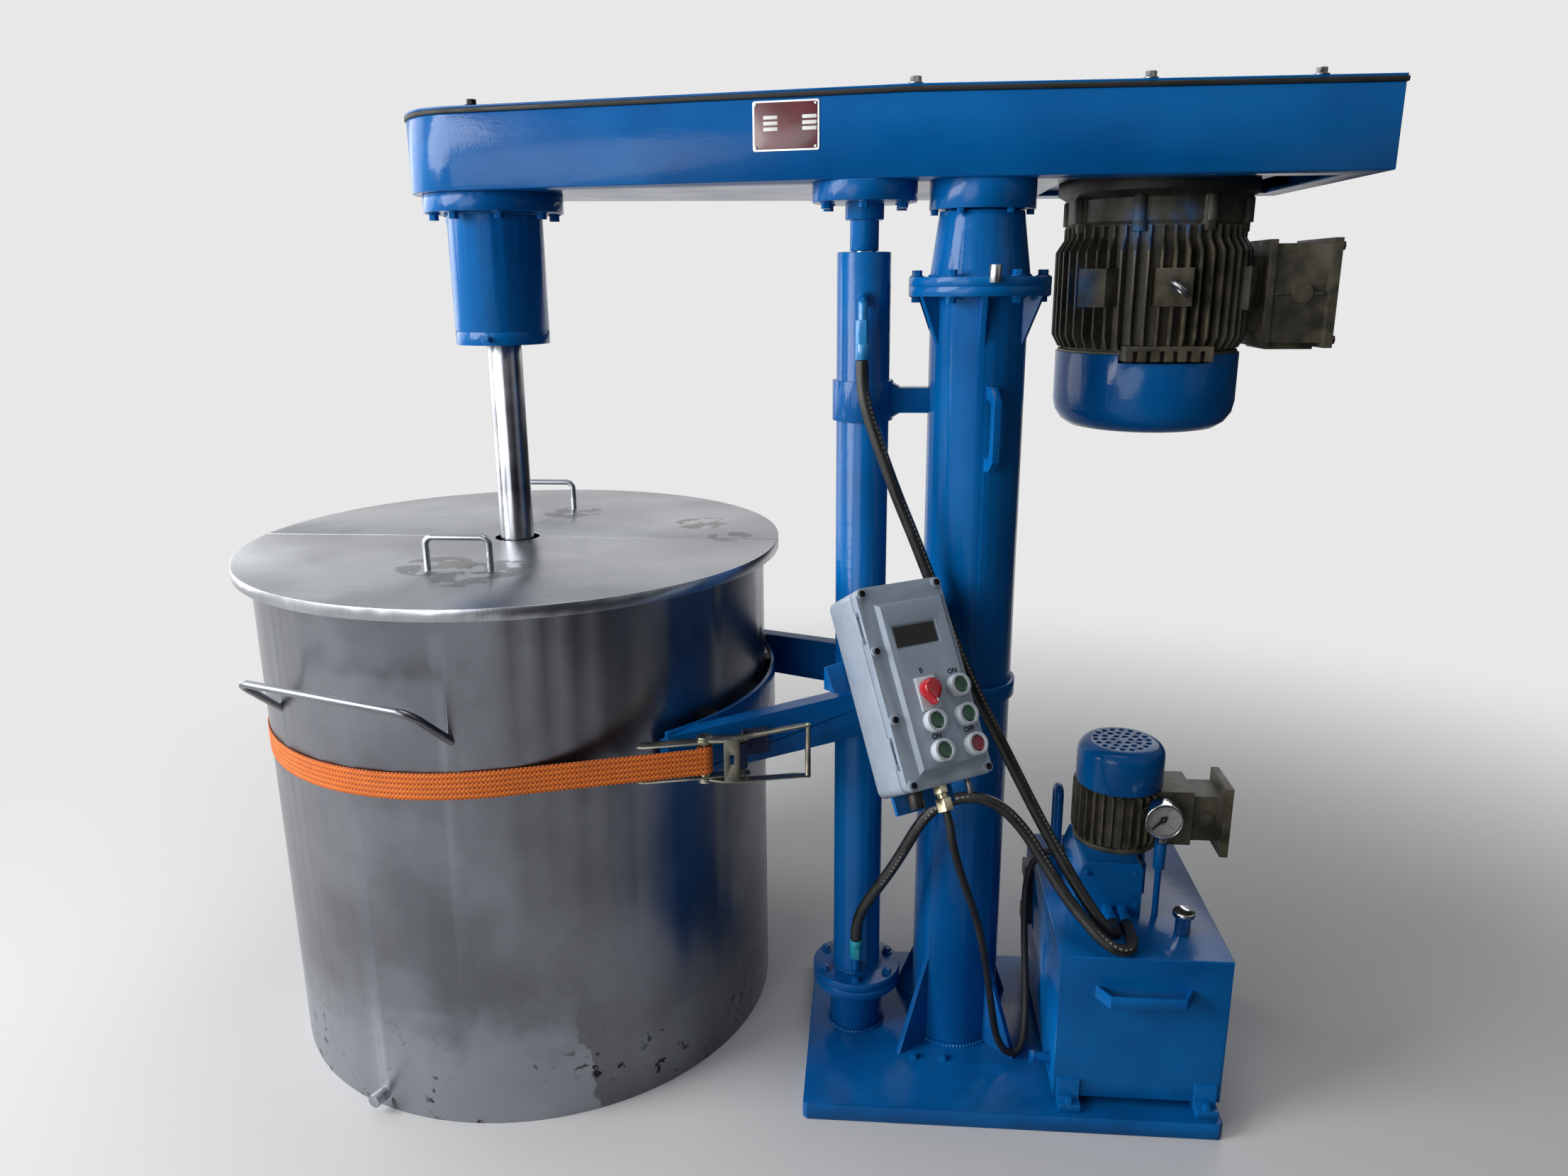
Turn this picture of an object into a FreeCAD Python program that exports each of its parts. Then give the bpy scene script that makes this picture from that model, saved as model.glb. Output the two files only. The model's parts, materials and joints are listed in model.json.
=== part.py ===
# High speed disperser: a belt driven saw-tooth mixer on a hydraulic lift column,
# with a loose mixing tank, a split lid, a strap cradle, an oil power pack and a control box.
# Millimetres. X points from the column to the motor, Y away from the operator, Z up.
# The origin is the column axis on the floor.
import FreeCAD, Part
import math
import os
import re
import Sketcher
from FreeCAD import Placement, Rotation, Vector

doc = FreeCAD.newDocument("disperser")
sheet = doc.addObject("Spreadsheet::Sheet", "Sizes")

SIZES = {
    # clearances shared by every fit
    "seat": 0.3, "run_gap": 0.05, "soft_gap": 0.4,
    # base plate, measured from the column axis
    "base_left": 294, "base_right": 473, "base_front": 270, "base_back": 240,
    "base_thick": 33, "base_corner": 8,
    # lift column
    "column_radius": 84, "column_wall": 8, "column_top": 1506,
    "column_flange_radius": 122, "column_flange_thick": 16,
    "gusset_thick": 10, "gusset_high": 88, "gusset_margin": 4,
    "foot_gusset_reach": 78, "foot_gusset_high": 190,
    "head_cone_low": 86, "head_cone_high": 72, "head_cone_rise": 107, "head_flange_thick": 16,
    "bush_thick": 6, "bush_long": 92,
    "grip_low": 1197, "grip_high": 145, "grip_reach": 46, "grip_plate": 12, "grip_bar": 20,
    # ram and travel
    "ram_radius": 62, "ram_wall": 8, "ram_foot": 330, "ram_ring_high": 40, "ram_flange_radius": 90,
    "ram_gap": 2, "lift_travel": 850,
    # hydraulic cylinder
    "cylinder_offset": 200, "pedestal_radius": 53, "pedestal_wall": 6, "pedestal_high": 97,
    "cylinder_flange_radius": 88, "cylinder_flange_thick": 17.5, "barrel_radius": 47,
    "barrel_bore": 38, "barrel_top": 1564, "gland_high": 34, "cylinder_end": 22,
    "rod_radius": 22, "piston_high": 30, "sleeve_radius": 25, "coupling_radius": 33.4,
    "coupling_high": 28, "rod_flange_radius": 90, "rod_flange_thick": 33, "sleeve_gap": 2,
    "clamp_radius": 54, "clamp_low": 1276, "clamp_high": 70, "clamp_arm_high": 44, "clamp_arm_wide": 34,
    "port_top": 1488, "port_low": 187, "port_radius": 11, "port_long": 12, "elbow_bend": 18,
    "elbow_radius": 8, "nipple_radius": 12.5, "top_nipple_long": 66, "low_nipple_long": 40,
    "hose_radius": 11, "cable_radius": 7,
    # belt beam and everything along its centre line
    "beam_line": 182, "beam_floor": 1678, "beam_high": 128, "beam_wall": 8, "beam_half_wide": 280,
    "beam_right": 630, "beam_crease": 125, "beam_nose_radius": 148,
    "gasket_thick": 8, "gasket_lip": 3, "cover_lip": 1, "cover_thick": 4,
    "opening_left": 141, "opening_right": 586, "opening_half_wide": 195, "shaft_way": 44,
    # spindle
    "spindle_offset": 912, "spindle_radius": 33.5, "spindle_foot": 128, "spindle_top": 1778,
    "spindle_journal": 29.5, "spindle_shoulder": 37.5, "spindle_nose": 25.5, "spindle_tail": 17,
    "housing_flange_radius": 131, "housing_flange_thick": 33, "housing_radius": 90,
    "housing_wall": 18, "housing_low": 1427, "cap_thick": 25, "bearing_high": 30,
    "impeller_radius": 170, "impeller_thick": 4, "impeller_tooth": 22, "impeller_teeth": 18,
    "impeller_hub_radius": 52, "impeller_hub_high": 12,
    # main motor and belt drive
    "motor_offset": 331, "motor_fin_radius": 175, "motor_core_radius": 148, "motor_low": 1390,
    "motor_fin_top": 1614, "motor_fin_count": 48, "motor_fin_thick": 4, "motor_bell_radius": 155,
    "motor_flange_radius": 176, "motor_flange_thick": 22, "motor_plate_thick": 12,
    "motor_plate_lap": 40, "motor_boss_radius": 13, "motor_shield_thick": 14,
    "motor_pad_out": 185, "motor_foot_wide": 150, "motor_foot_out": 182, "motor_foot_high": 26,
    "eye_level": 1500, "motor_shaft_radius": 21, "motor_collar_radius": 27, "motor_fan_radius": 132, "motor_fan_high": 44,
    "cowl_radius": 166, "cowl_low": 1244, "cowl_top": 1386, "cowl_wall": 4, "cowl_round": 52,
    "motor_pulley_radius": 118, "spindle_pulley_radius": 88, "pulley_high": 62, "pulley_low": 1706,
    "belt_count": 3, "belt_wide": 13, "belt_deep": 9, "belt_pitch": 18,
    "terminal_start": 181, "terminal_deep": 108, "terminal_base": 14, "terminal_lid": 16,
    "terminal_low": 1394, "terminal_high": 190, "terminal_wide": 188,
    # mixing tank and split lid
    "tank_radius": 508, "tank_wall": 4, "tank_floor": 6, "tank_high": 1008, "rim_wide": 14,
    "rim_thick": 6, "lid_radius": 540, "lid_plate": 3, "lid_skirt": 22, "lid_hole": 45, "lid_split": 1,
    "lid_handle_span": 118, "lid_handle_rise": 64, "lid_handle_rod": 6, "lid_handle_bend": 14,
    "lid_handle_reach": 290, "lid_handle_left": 76,
    "tank_handle_low": 764, "tank_handle_span": 388, "tank_handle_angle": 250.5,
    "tank_handle_rod": 7, "tank_handle_reach": 128, "tank_handle_tilt": 42, "tank_handle_bend": 30,
    "tank_drain_angle": 110.6, "tank_drain_radius": 13, "tank_drain_level": 30,
    # cradle that holds the tank, its strap and ratchet
    "arm_high": 86, "arm_thick": 34, "arm_long": 640, "arm_root": 14, "arm_level": 776,
    "arm_bite": 66.7, "front_arm_drop": 9, "rear_arm_drop": 6.4,
    "collar_radius": 92, "collar_low": 764, "collar_high": 30,
    "band_low": 644, "band_high": 96, "band_thick": 8, "band_gap": 14, "band_half_angle": 34,
    "pad_wide": 40, "pad_low": 660, "pad_high": 75, "pad_angle": 20,
    "strap_wide": 50, "strap_thick": 3, "strap_level": 686.4, "strap_slope": 2.6,
    "strap_leave": 75, "strap_back": 40, "strap_run": 324, "strap_flap": 50, "strap_wrap": 13.8,
    "mandrel_radius": 9, "ratchet_level": 707, "ratchet_half": 31.5, "ratchet_plate": 3,
    "ratchet_front": 118, "ratchet_back": 80, "ratchet_side": 12, "anchor_along": 65,
    "anchor_radius": 8, "handle_long": 185, "handle_flare": 3.7, "handle_bar": 5,
    # power pack
    "pack_left": 170, "pack_right": 474, "pack_half_deep": 232, "pack_low": 50, "pack_top": 345,
    "pack_wall": 4, "pack_lid_thick": 5, "lug_wide": 40, "lug_out": 26, "lug_thick": 5,
    "pack_handle_left": 235, "pack_handle_right": 408, "pack_handle_out": 34, "pack_handle_low": 262,
    "pack_handle_high": 24, "pack_handle_thick": 6, "pack_handle_slant": 20,
    "pump_x": 306, "pump_y": 20, "pump_core_radius": 72, "pump_flange_radius": 80,
    "pump_flange_thick": 9, "pump_fin_radius": 86, "pump_fin_top": 576, "pump_fin_count": 30,
    "pump_fin_thick": 3, "pump_spigot_high": 14, "pump_cowl_radius": 82, "pump_cowl_top": 660,
    "pump_cowl_round": 24, "pump_shaft_radius": 9, "pump_fan_radius": 62, "pump_bell_radius": 60,
    "block_left": 214, "block_right": 338, "block_front": 95, "block_back": 70, "block_high": 112,
    "block_port_z": 359, "block_port_left": 276, "block_port_right": 302, "block_port_long": 46,
    "gauge_x": 367, "gauge_y": 70, "gauge_z": 547, "gauge_radius": 35, "gauge_deep": 30,
    "gauge_rim": 4, "gauge_dial": 14, "gauge_glass": 3, "gauge_pin": 2, "gauge_needle": 26,
    "stem_radius": 6, "stem_sleeve_radius": 11,
    "riser_x": 208, "riser_span": 30, "riser_rise": 168, "riser_rod": 9, "riser_bend": 14,
    "breather_x": 404, "breather_y": 142, "breather_neck": 9, "breather_radius": 14,
    "breather_cap_radius": 20, "breather_high": 46,
    "level_y": 141, "level_low": 190, "level_high": 135, "level_out": 20,
    "drain_radius": 10, "drain_long": 30, "drain_y": 185, "drain_z": 95,
    # control box, turned and tilted towards the operator; its own sizes count from its middle
    "control_x": 110, "control_y": 225, "control_z": 850, "control_turn": 33.6, "control_tilt": 29.5,
    "control_wide": 173, "control_high": 345, "control_deep": 102, "control_round": 14,
    "control_wall": 6, "cover_deep": 26, "panel_high": 8, "control_joint": 2, "joint_inset": 3,
    "button_radius": 14, "button_travel": 4, "guard_radius": 19, "guard_high": 16,
    "knob_x": 6, "knob_z": 16, "knob_radius": 17, "knob_high": 21, "knob_base": 5, "knob_stem": 5,
    "bracket_thick": 8, "bracket_arm_wide": 50, "bracket_arm_high": 40, "bracket_arm_level": 840,
    "bracket_angle": 135, "gland_x": 2, "gland_radius": 15, "gland_drop": 43.5,
}

# places on the control box cover: across, up
BUTTONS = {
    "button_top_right": (55, -20),
    "button_mid_right": (54, -70),
    "button_stop": (56, -121),
    "button_mid_left": (-10, -69),
    "button_low_left": (-11, -119),
}
COVER_SCREWS = [(-76, 162), (76, 162), (-77, 63), (-77, -53), (-76, -162), (76, -162)]

ORIGIN = Vector(0, 0, 0)
UP = Vector(0, 0, 1)
TURNS = {
    "z": Rotation(),
    "-z": Rotation(Vector(1, 0, 0), 180),
    "x": Rotation(Vector(0, 1, 0), 90),
    "-x": Rotation(Vector(0, 1, 0), -90),
    "y": Rotation(Vector(1, 0, 0), -90),
    "-y": Rotation(Vector(1, 0, 0), 90),
}
PIECES = []


def fill_sheet():
    for row, (alias, number) in enumerate(SIZES.items(), start=1):
        sheet.set(f"A{row}", alias.replace("_", " "))
        sheet.set(f"B{row}", str(number))
        sheet.setAlias(f"B{row}", alias)
    doc.recompute()


def size(alias):
    return float(sheet.get(alias))


# an expression in which every size name points at its cell
def ex(text):
    return re.sub(r"[a-z][a-z_]*", lambda word: "Sizes." + word.group() if word.group() in SIZES
                  else word.group(), str(text))


def bind(obj, **sizes):
    for name, text in sizes.items():
        obj.setExpression(name, ex(text))
    return obj


def put(obj, x=0, y=0, z=0, turn=None):
    if turn is not None:
        obj.Placement = Placement(ORIGIN, turn)
    for axis, text in zip("xyz", (x, y, z)):
        obj.setExpression(f"Placement.Base.{axis}", ex(text))
    return obj


def cylinder(radius, height, x=0, y=0, z=0, along="z"):
    obj = bind(doc.addObject("Part::Cylinder", "round"), Radius=radius, Height=height)
    return put(obj, x, y, z, TURNS[along])


def cone(low, high, height, x=0, y=0, z=0, along="z"):
    obj = bind(doc.addObject("Part::Cone", "taper"), Radius1=low, Radius2=high, Height=height)
    return put(obj, x, y, z, TURNS[along])


def box(length, width, height, x=0, y=0, z=0, turn=None):
    obj = bind(doc.addObject("Part::Box", "block"), Length=length, Width=width, Height=height)
    return put(obj, x, y, z, turn)


def hexagon(radius, height, x=0, y=0, z=0, along="z"):
    obj = doc.addObject("Part::Prism", "hexagon")
    obj.Polygon = 6
    bind(obj, Circumradius=radius, Height=height)
    return put(obj, x, y, z, TURNS[along])


def bend(bend_radius, rod_radius, x, y, z, turn, angle=90):
    obj = doc.addObject("Part::Torus", "bend")
    obj.Angle3 = angle
    bind(obj, Radius1=bend_radius, Radius2=rod_radius)
    return put(obj, x, y, z, turn)


def fuse(*parts):
    obj = doc.addObject("Part::MultiFuse", "joined")
    obj.Shapes = list(parts)
    obj.Refine = True
    return obj


def cut(base, *tools):
    obj = doc.addObject("Part::Cut", "trimmed")
    obj.Base = base
    obj.Tool = tools[0] if len(tools) == 1 else group(*tools)
    obj.Refine = True
    return obj


def common(base, tool):
    obj = doc.addObject("Part::Common", "shared")
    obj.Base = base
    obj.Tool = tool
    return obj


def group(*parts):
    obj = doc.addObject("Part::Compound", "set")
    obj.Links = list(parts)
    return obj


def tube(outer, inner, height, x=0, y=0, z=0, along="z"):
    return cut(cylinder(outer, height, x, y, z, along), cylinder(inner, height, x, y, z, along))


def piece(label, obj):
    obj.Label = label
    PIECES.append(obj)
    return obj


# points round a circle as expressions, for bolts and gussets
def round_places(count, radius, x=0, y=0, start=0):
    angles = [start + 360 * i / count for i in range(count)]
    return [(f"{x} + ({radius}) * cos({a})", f"{y} + ({radius}) * sin({a})", a) for a in angles]


def new_body(name):
    return doc.addObject("PartDesign::Body", name)


def new_sketch(body, role, offset=0):
    plane = next(f for f in body.Origin.OriginFeatures if f.Role == role)
    drawing = body.newObject("Sketcher::SketchObject", "drawing")
    drawing.AttachmentSupport = [(plane, "")]
    drawing.MapMode = "FlatFace"
    drawing.setExpression("AttachmentOffset.Base.z", ex(offset))
    return drawing


# a closed outline of straight edges, each corner held by two dimensions from the origin
def draw_polygon(drawing, corners):
    count = len(corners)
    starts = [Vector(50 * math.cos(6.283 * i / count), 50 * math.sin(6.283 * i / count), 0)
              for i in range(count)]
    first = drawing.GeometryCount
    for i in range(count):
        drawing.addGeometry(Part.LineSegment(starts[i], starts[(i + 1) % count]), False)
    for i in range(count):
        line, after = first + i, first + (i + 1) % count
        drawing.addConstraint(Sketcher.Constraint("Coincident", line, 2, after, 1))
    for i, corner in enumerate(corners):
        hold(drawing, first + i, 1, corner[0], corner[1], starts[i])


# a point of a drawing held by two dimensions from the origin
def hold(drawing, item, end, x, y, start):
    for kind, text, number in (("DistanceX", x, start.x), ("DistanceY", y, start.y)):
        rule = drawing.addConstraint(Sketcher.Constraint(kind, -1, 1, item, end, number))
        drawing.setExpression(f"Constraints[{rule}]", ex(text))


def draw_circle(drawing, x, y, radius):
    item = drawing.addGeometry(Part.Circle(Vector(1, 1, 0), UP, 5), False)
    hold(drawing, item, 3, x, y, Vector(1, 1, 0))
    rule = drawing.addConstraint(Sketcher.Constraint("Radius", item, 5))
    drawing.setExpression(f"Constraints[{rule}]", ex(radius))


def feature(body, kind, drawing, **sizes):
    obj = body.newObject(f"PartDesign::{kind}", kind.lower())
    obj.Profile = drawing
    if kind in ("Revolution", "Groove"):
        obj.ReferenceAxis = (drawing, ["V_Axis"])
        obj.Angle = 360
    bind(obj, **sizes)
    body.Tip = obj
    return obj


# a turned part: a half section of (radius, height) corners spun about an upright axis
def turned(name, section, x=0, y=0, z=0):
    body = new_body(name)
    drawing = new_sketch(body, "XZ_Plane")
    draw_polygon(drawing, section)
    feature(body, "Revolution", drawing)
    put(body, x, y, z)
    return body


# a slab: an outline seen from above, with its height
def slab(name, outline, low, height, x=0, y=0):
    body = new_body(name)
    drawing = new_sketch(body, "XY_Plane", low)
    draw_polygon(drawing, outline)
    feature(body, "Pad", drawing, Length=height)
    put(body, x, y, 0)
    return body


# a plate: an outline seen from the front, thick about its own middle plane
def plate(name, outline, thick):
    body = new_body(name)
    drawing = new_sketch(body, "XZ_Plane", f"0 - ({thick}) / 2")
    draw_polygon(drawing, outline)
    feature(body, "Pad", drawing, Length=thick)
    return body


def repeat_round(body, what, count):
    pattern = body.newObject("PartDesign::PolarPattern", "round_pattern")
    pattern.Originals = [what]
    axis = next(f for f in body.Origin.OriginFeatures if f.Role == "Z_Axis")
    pattern.Axis = (axis, [""])
    pattern.Angle = 360
    bind(pattern, Occurrences=count)
    body.Tip = pattern
    return pattern


# edges of a feature that pass a test, rounded or bevelled with one size
def dress(body, kind, base, test, amount):
    doc.recompute()
    names = [f"Edge{i}" for i, edge in enumerate(base.Shape.Edges, start=1) if test(edge)]
    obj = body.newObject(f"PartDesign::{kind}", kind.lower())
    obj.Base = (base, names)
    bind(obj, **{"Radius" if kind == "Fillet" else "Size": amount})
    body.Tip = obj
    return obj


def upright(edge):
    ends = [v.Point for v in edge.Vertexes]
    return len(ends) == 2 and abs(ends[0].x - ends[1].x) < 0.01 and abs(ends[0].y - ends[1].y) < 0.01


# a bent rod: up, across and down again, with two round corners
def bent_rod(name, span, rise, corner, rod):
    wide, high, radius = size(span), size(rise), size(corner)
    body = new_body(name)
    path = new_sketch(body, "XZ_Plane")
    points = [Vector(0, 0, 0), Vector(0, high - radius, 0), Vector(radius, high, 0),
              Vector(wide - radius, high, 0), Vector(wide, high - radius, 0), Vector(wide, 0, 0)]
    path.addGeometry(Part.LineSegment(points[0], points[1]), False)
    path.addGeometry(Part.ArcOfCircle(Part.Circle(Vector(radius, high - radius, 0), UP, radius),
                                      math.pi / 2, math.pi), False)
    path.addGeometry(Part.LineSegment(points[2], points[3]), False)
    path.addGeometry(Part.ArcOfCircle(Part.Circle(Vector(wide - radius, high - radius, 0), UP, radius),
                                      0, math.pi / 2), False)
    path.addGeometry(Part.LineSegment(points[4], points[5]), False)
    joins = [(0, 2, 1, 2), (1, 1, 2, 1), (2, 2, 3, 2), (3, 1, 4, 1)]
    path.addConstraint([Sketcher.Constraint("Tangent", *join) for join in joins])
    path.addConstraint(Sketcher.Constraint("Coincident", 0, 1, -1, 1))
    path.addConstraint([Sketcher.Constraint("Vertical", 0), Sketcher.Constraint("Horizontal", 2),
                        Sketcher.Constraint("Vertical", 4), Sketcher.Constraint("Equal", 1, 3)])
    sizes = [(Sketcher.Constraint("Radius", 1, radius), corner),
             (Sketcher.Constraint("DistanceY", -1, 1, 2, 1, high), rise),
             (Sketcher.Constraint("DistanceX", -1, 1, 4, 2, wide), span)]
    path.addConstraint(Sketcher.Constraint("DistanceY", -1, 1, 4, 2, 0))
    for constraint, alias in sizes:
        item = path.addConstraint(constraint)
        path.setExpression(f"Constraints[{item}]", ex(alias))
    section = new_sketch(body, "XY_Plane")
    draw_circle(section, 0, 0, rod)
    pipe = body.newObject("PartDesign::AdditivePipe", "pipe")
    pipe.Profile = section
    pipe.Spine = path
    body.Tip = pipe
    return body


# hexagon heads in a ring, each with its washer, standing on or hanging from a face
def bolt_ring(count, radius, z, head=9, high=9, x=0, y=0, start=0, along="z"):
    heads = []
    for px, py, _ in round_places(count, radius, x, y, start):
        washer = cylinder(f"{head} + 3", 2, px, py, z, along)
        lift = 2 if along == "z" else -2
        bolt = hexagon(head, high, px, py, f"{z} + {lift}", along)
        heads.append(fuse(washer, bolt))
    return heads


def make_base():
    body = new_body("base")
    drawing = new_sketch(body, "XY_Plane")
    draw_polygon(drawing, [("-base_left", "-base_front"), ("base_right", "-base_front"),
                           ("base_right", "base_back"), ("-base_left", "base_back")])
    pad = feature(body, "Pad", drawing, Length="base_thick")
    dress(body, "Chamfer", pad, upright, "base_corner")
    piece("base_plate", body)


def gussets(name, outline, count, start, thick):
    made = []
    for i in range(count):
        rib = plate(name, outline, thick)
        rib.Placement = Placement(ORIGIN, Rotation(UP, start + 360 * i / count))
        made.append(rib)
    return made


# a D shaped hand grip, flame cut from plate and welded on edge to the column
def column_grip():
    outline = [("column_radius - 2", "grip_low"), ("column_radius + grip_reach / 2", "grip_low"),
               ("column_radius + grip_reach", "grip_low + grip_bar"),
               ("column_radius + grip_reach", "grip_low + grip_high - grip_bar"),
               ("column_radius + grip_reach / 2", "grip_low + grip_high"),
               ("column_radius - 2", "grip_low + grip_high"),
               ("column_radius - 2", "grip_low + grip_high - grip_bar"),
               ("column_radius + grip_reach / 2", "grip_low + grip_high - grip_bar * 1.3"),
               ("column_radius + grip_reach - grip_bar", "grip_low + grip_high - grip_bar * 2"),
               ("column_radius + grip_reach - grip_bar", "grip_low + grip_bar * 2"),
               ("column_radius + grip_reach / 2", "grip_low + grip_bar * 1.3"),
               ("column_radius - 2", "grip_low + grip_bar")]
    grip = plate("grip", outline, "grip_plate")
    grip.Placement = Placement(ORIGIN, Rotation(UP, -78))
    return grip


def make_column():
    body = turned("column", [("column_radius - column_wall", "base_thick"),
                             ("column_radius", "base_thick"),
                             ("column_radius", "column_top - column_flange_thick"),
                             ("column_flange_radius", "column_top - column_flange_thick"),
                             ("column_flange_radius", "column_top"),
                             ("column_radius - column_wall", "column_top")])
    under = "column_top - column_flange_thick"
    head_rib = [("column_radius - 2", under), ("column_flange_radius - gusset_margin", under),
                ("column_radius - 2", f"{under} - gusset_high")]
    foot_rib = [("column_radius - 2", "base_thick"), ("column_radius + foot_gusset_reach", "base_thick"),
                ("column_radius - 2", "base_thick + foot_gusset_high")]
    ribs = gussets("head_rib", head_rib, 6, 30, "gusset_thick")
    ribs += gussets("foot_rib", foot_rib, 4, 45, "gusset_thick")
    piece("outer_column", fuse(body, *ribs, column_grip()))


def make_column_head():
    low = "column_top + head_flange_thick"
    piece("column_head", turned("head", [
        ("ram_radius + bush_thick", "column_top"), ("column_flange_radius", "column_top"),
        ("column_flange_radius", low), ("head_cone_low", low),
        ("head_cone_high", f"{low} + head_cone_rise"),
        ("ram_radius + bush_thick / 2", f"{low} + head_cone_rise"),
        ("ram_radius + bush_thick / 2", "column_top + bush_long"),
        ("ram_radius + bush_thick", "column_top + bush_long")]))
    piece("guide_bush", tube("ram_radius + bush_thick - run_gap", "ram_radius + run_gap",
                             "bush_long - seat", z="column_top"))


# the ram slides in the guide bush above and on its own collar inside the column below
def make_ram():
    top = "column_top + head_flange_thick + head_cone_rise + ram_gap"
    piece("ram_tube", turned("ram", [
        ("ram_radius - ram_wall", "ram_foot"), ("column_radius - column_wall - run_gap", "ram_foot"),
        ("column_radius - column_wall - run_gap", "ram_foot + ram_ring_high"),
        ("ram_radius", "ram_foot + ram_ring_high"), ("ram_radius", top),
        ("ram_flange_radius", top), ("ram_flange_radius", "beam_floor"),
        ("ram_radius - ram_wall", "beam_floor")]))


def make_cylinder():
    x = "-cylinder_offset"
    pedestal_top = "base_thick + pedestal_high"
    seat_z = f"{pedestal_top} + cylinder_flange_thick"
    piece("cylinder_pedestal", turned("pedestal", [
        ("pedestal_radius - pedestal_wall", "base_thick"), ("pedestal_radius", "base_thick"),
        ("pedestal_radius", pedestal_top), ("cylinder_flange_radius", pedestal_top),
        ("cylinder_flange_radius", seat_z), ("pedestal_radius - pedestal_wall", seat_z)], x))
    flange_top = f"{seat_z} + cylinder_flange_thick"
    piece("cylinder_barrel", turned("barrel", [
        (0, seat_z), ("cylinder_flange_radius", seat_z), ("cylinder_flange_radius", flange_top),
        ("barrel_radius", flange_top), ("barrel_radius", "barrel_top"),
        ("rod_radius + run_gap", "barrel_top"), ("rod_radius + run_gap", "barrel_top - gland_high"),
        ("barrel_bore", "barrel_top - gland_high"), ("barrel_bore", f"{seat_z} + cylinder_end"),
        (0, f"{seat_z} + cylinder_end")], x))
    piston_low = f"{seat_z} + cylinder_end + seat"
    coupling_low = "beam_floor - rod_flange_thick - coupling_high"
    piece("piston_rod", turned("rod", [
        (0, piston_low), ("barrel_bore - run_gap", piston_low),
        ("barrel_bore - run_gap", f"{piston_low} + piston_high"),
        ("rod_radius", f"{piston_low} + piston_high"), ("rod_radius", f"{coupling_low} + coupling_high - 5"),
        (0, f"{coupling_low} + coupling_high - 5")], x))
    piece("rod_end", turned("rod_end", [
        ("rod_radius + run_gap", "barrel_top + sleeve_gap"), ("sleeve_radius", "barrel_top + sleeve_gap"),
        ("sleeve_radius", coupling_low), ("coupling_radius", coupling_low),
        ("coupling_radius", f"{coupling_low} + coupling_high"),
        ("rod_flange_radius", f"{coupling_low} + coupling_high"), ("rod_flange_radius", "beam_floor"),
        (0, "beam_floor"), (0, f"{coupling_low} + coupling_high - 5"),
        ("rod_radius + run_gap", f"{coupling_low} + coupling_high - 5")], x))


def make_cylinder_clamp():
    x = "-cylinder_offset"
    ring = cylinder("clamp_radius", "clamp_high", x, 0, "clamp_low")
    arm = box("cylinder_offset", "clamp_arm_wide", "clamp_arm_high", x, "-clamp_arm_wide / 2",
              "clamp_low + (clamp_high - clamp_arm_high) / 2")
    flare = cone("clamp_high / 2", "clamp_arm_high / 2", 22, f"{x} + clamp_radius - 6", 0,
                 "clamp_low + clamp_high / 2", "x")
    slab_keep = box("cylinder_offset", "clamp_arm_wide", "clamp_high", x, "-clamp_arm_wide / 2", "clamp_low")
    solid = fuse(ring, arm, common(flare, slab_keep))
    solid = cut(solid, cylinder("barrel_radius + run_gap", "clamp_high", x, 0, "clamp_low"),
                cylinder("column_radius + run_gap", "clamp_high", 0, 0, "clamp_low"))
    piece("cylinder_clamp", solid)


# a set of parts turned and moved together
def posed(obj, place):
    holder = group(obj)
    holder.Placement = place
    return holder


def turned_to(obj, angle):
    return posed(obj, Placement(ORIGIN, Rotation(UP, angle)))


# a screwed port, a quarter elbow and a crimped hose nipple, upwards or downwards
def hose_union(z, long, upwards):
    x = "-cylinder_offset"
    sign = "+" if upwards else "-"
    along = "z" if upwards else "-z"
    out = "-barrel_radius + seat - port_long"
    boss = cylinder("port_radius", "port_long - seat * 2", x, "-barrel_radius - seat", z, "-y")
    start = f"{z} {sign} elbow_bend"
    corner = bend("elbow_bend", "elbow_radius", x, out, start, elbow_turn(upwards))
    neck = cylinder("elbow_radius", "elbow_bend", x, f"{out} - elbow_bend", start, along)
    nut = hexagon("nipple_radius", f"{long} * 0.6", x, f"{out} - elbow_bend",
                  f"{start} {sign} elbow_bend", along)
    sleeve = cylinder("nipple_radius", f"{long} * 0.4", x, f"{out} - elbow_bend",
                      f"{start} {sign} (elbow_bend + {long} * 0.6)", along)
    return fuse(boss, corner, neck, nut, sleeve)


# the quarter ring starts on its own X axis and sweeps towards its own Y axis
def elbow_turn(upwards):
    start = Vector(0, 0, -1) if upwards else Vector(0, 0, 1)
    sweep = Vector(0, -1, 0)
    return Rotation(start, sweep, start.cross(sweep), "ZXY")


# the nuts and crimped sleeves of both hoses on the front of the valve block
def block_union(x):
    out = "-block_front - seat"
    nut = hexagon("nipple_radius", "block_port_long * 0.45", x, out, "block_port_z", "-y")
    sleeve = cylinder("nipple_radius", "block_port_long * 0.55", x, f"{out} - block_port_long * 0.45",
                      "block_port_z", "-y")
    return fuse(nut, sleeve)


def make_hose_fittings():
    piece("hose_fittings", group(hose_union("port_top", "top_nipple_long", False),
                                 hose_union("port_low", "low_nipple_long", True),
                                 block_union("block_port_left"), block_union("block_port_right")))


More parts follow.
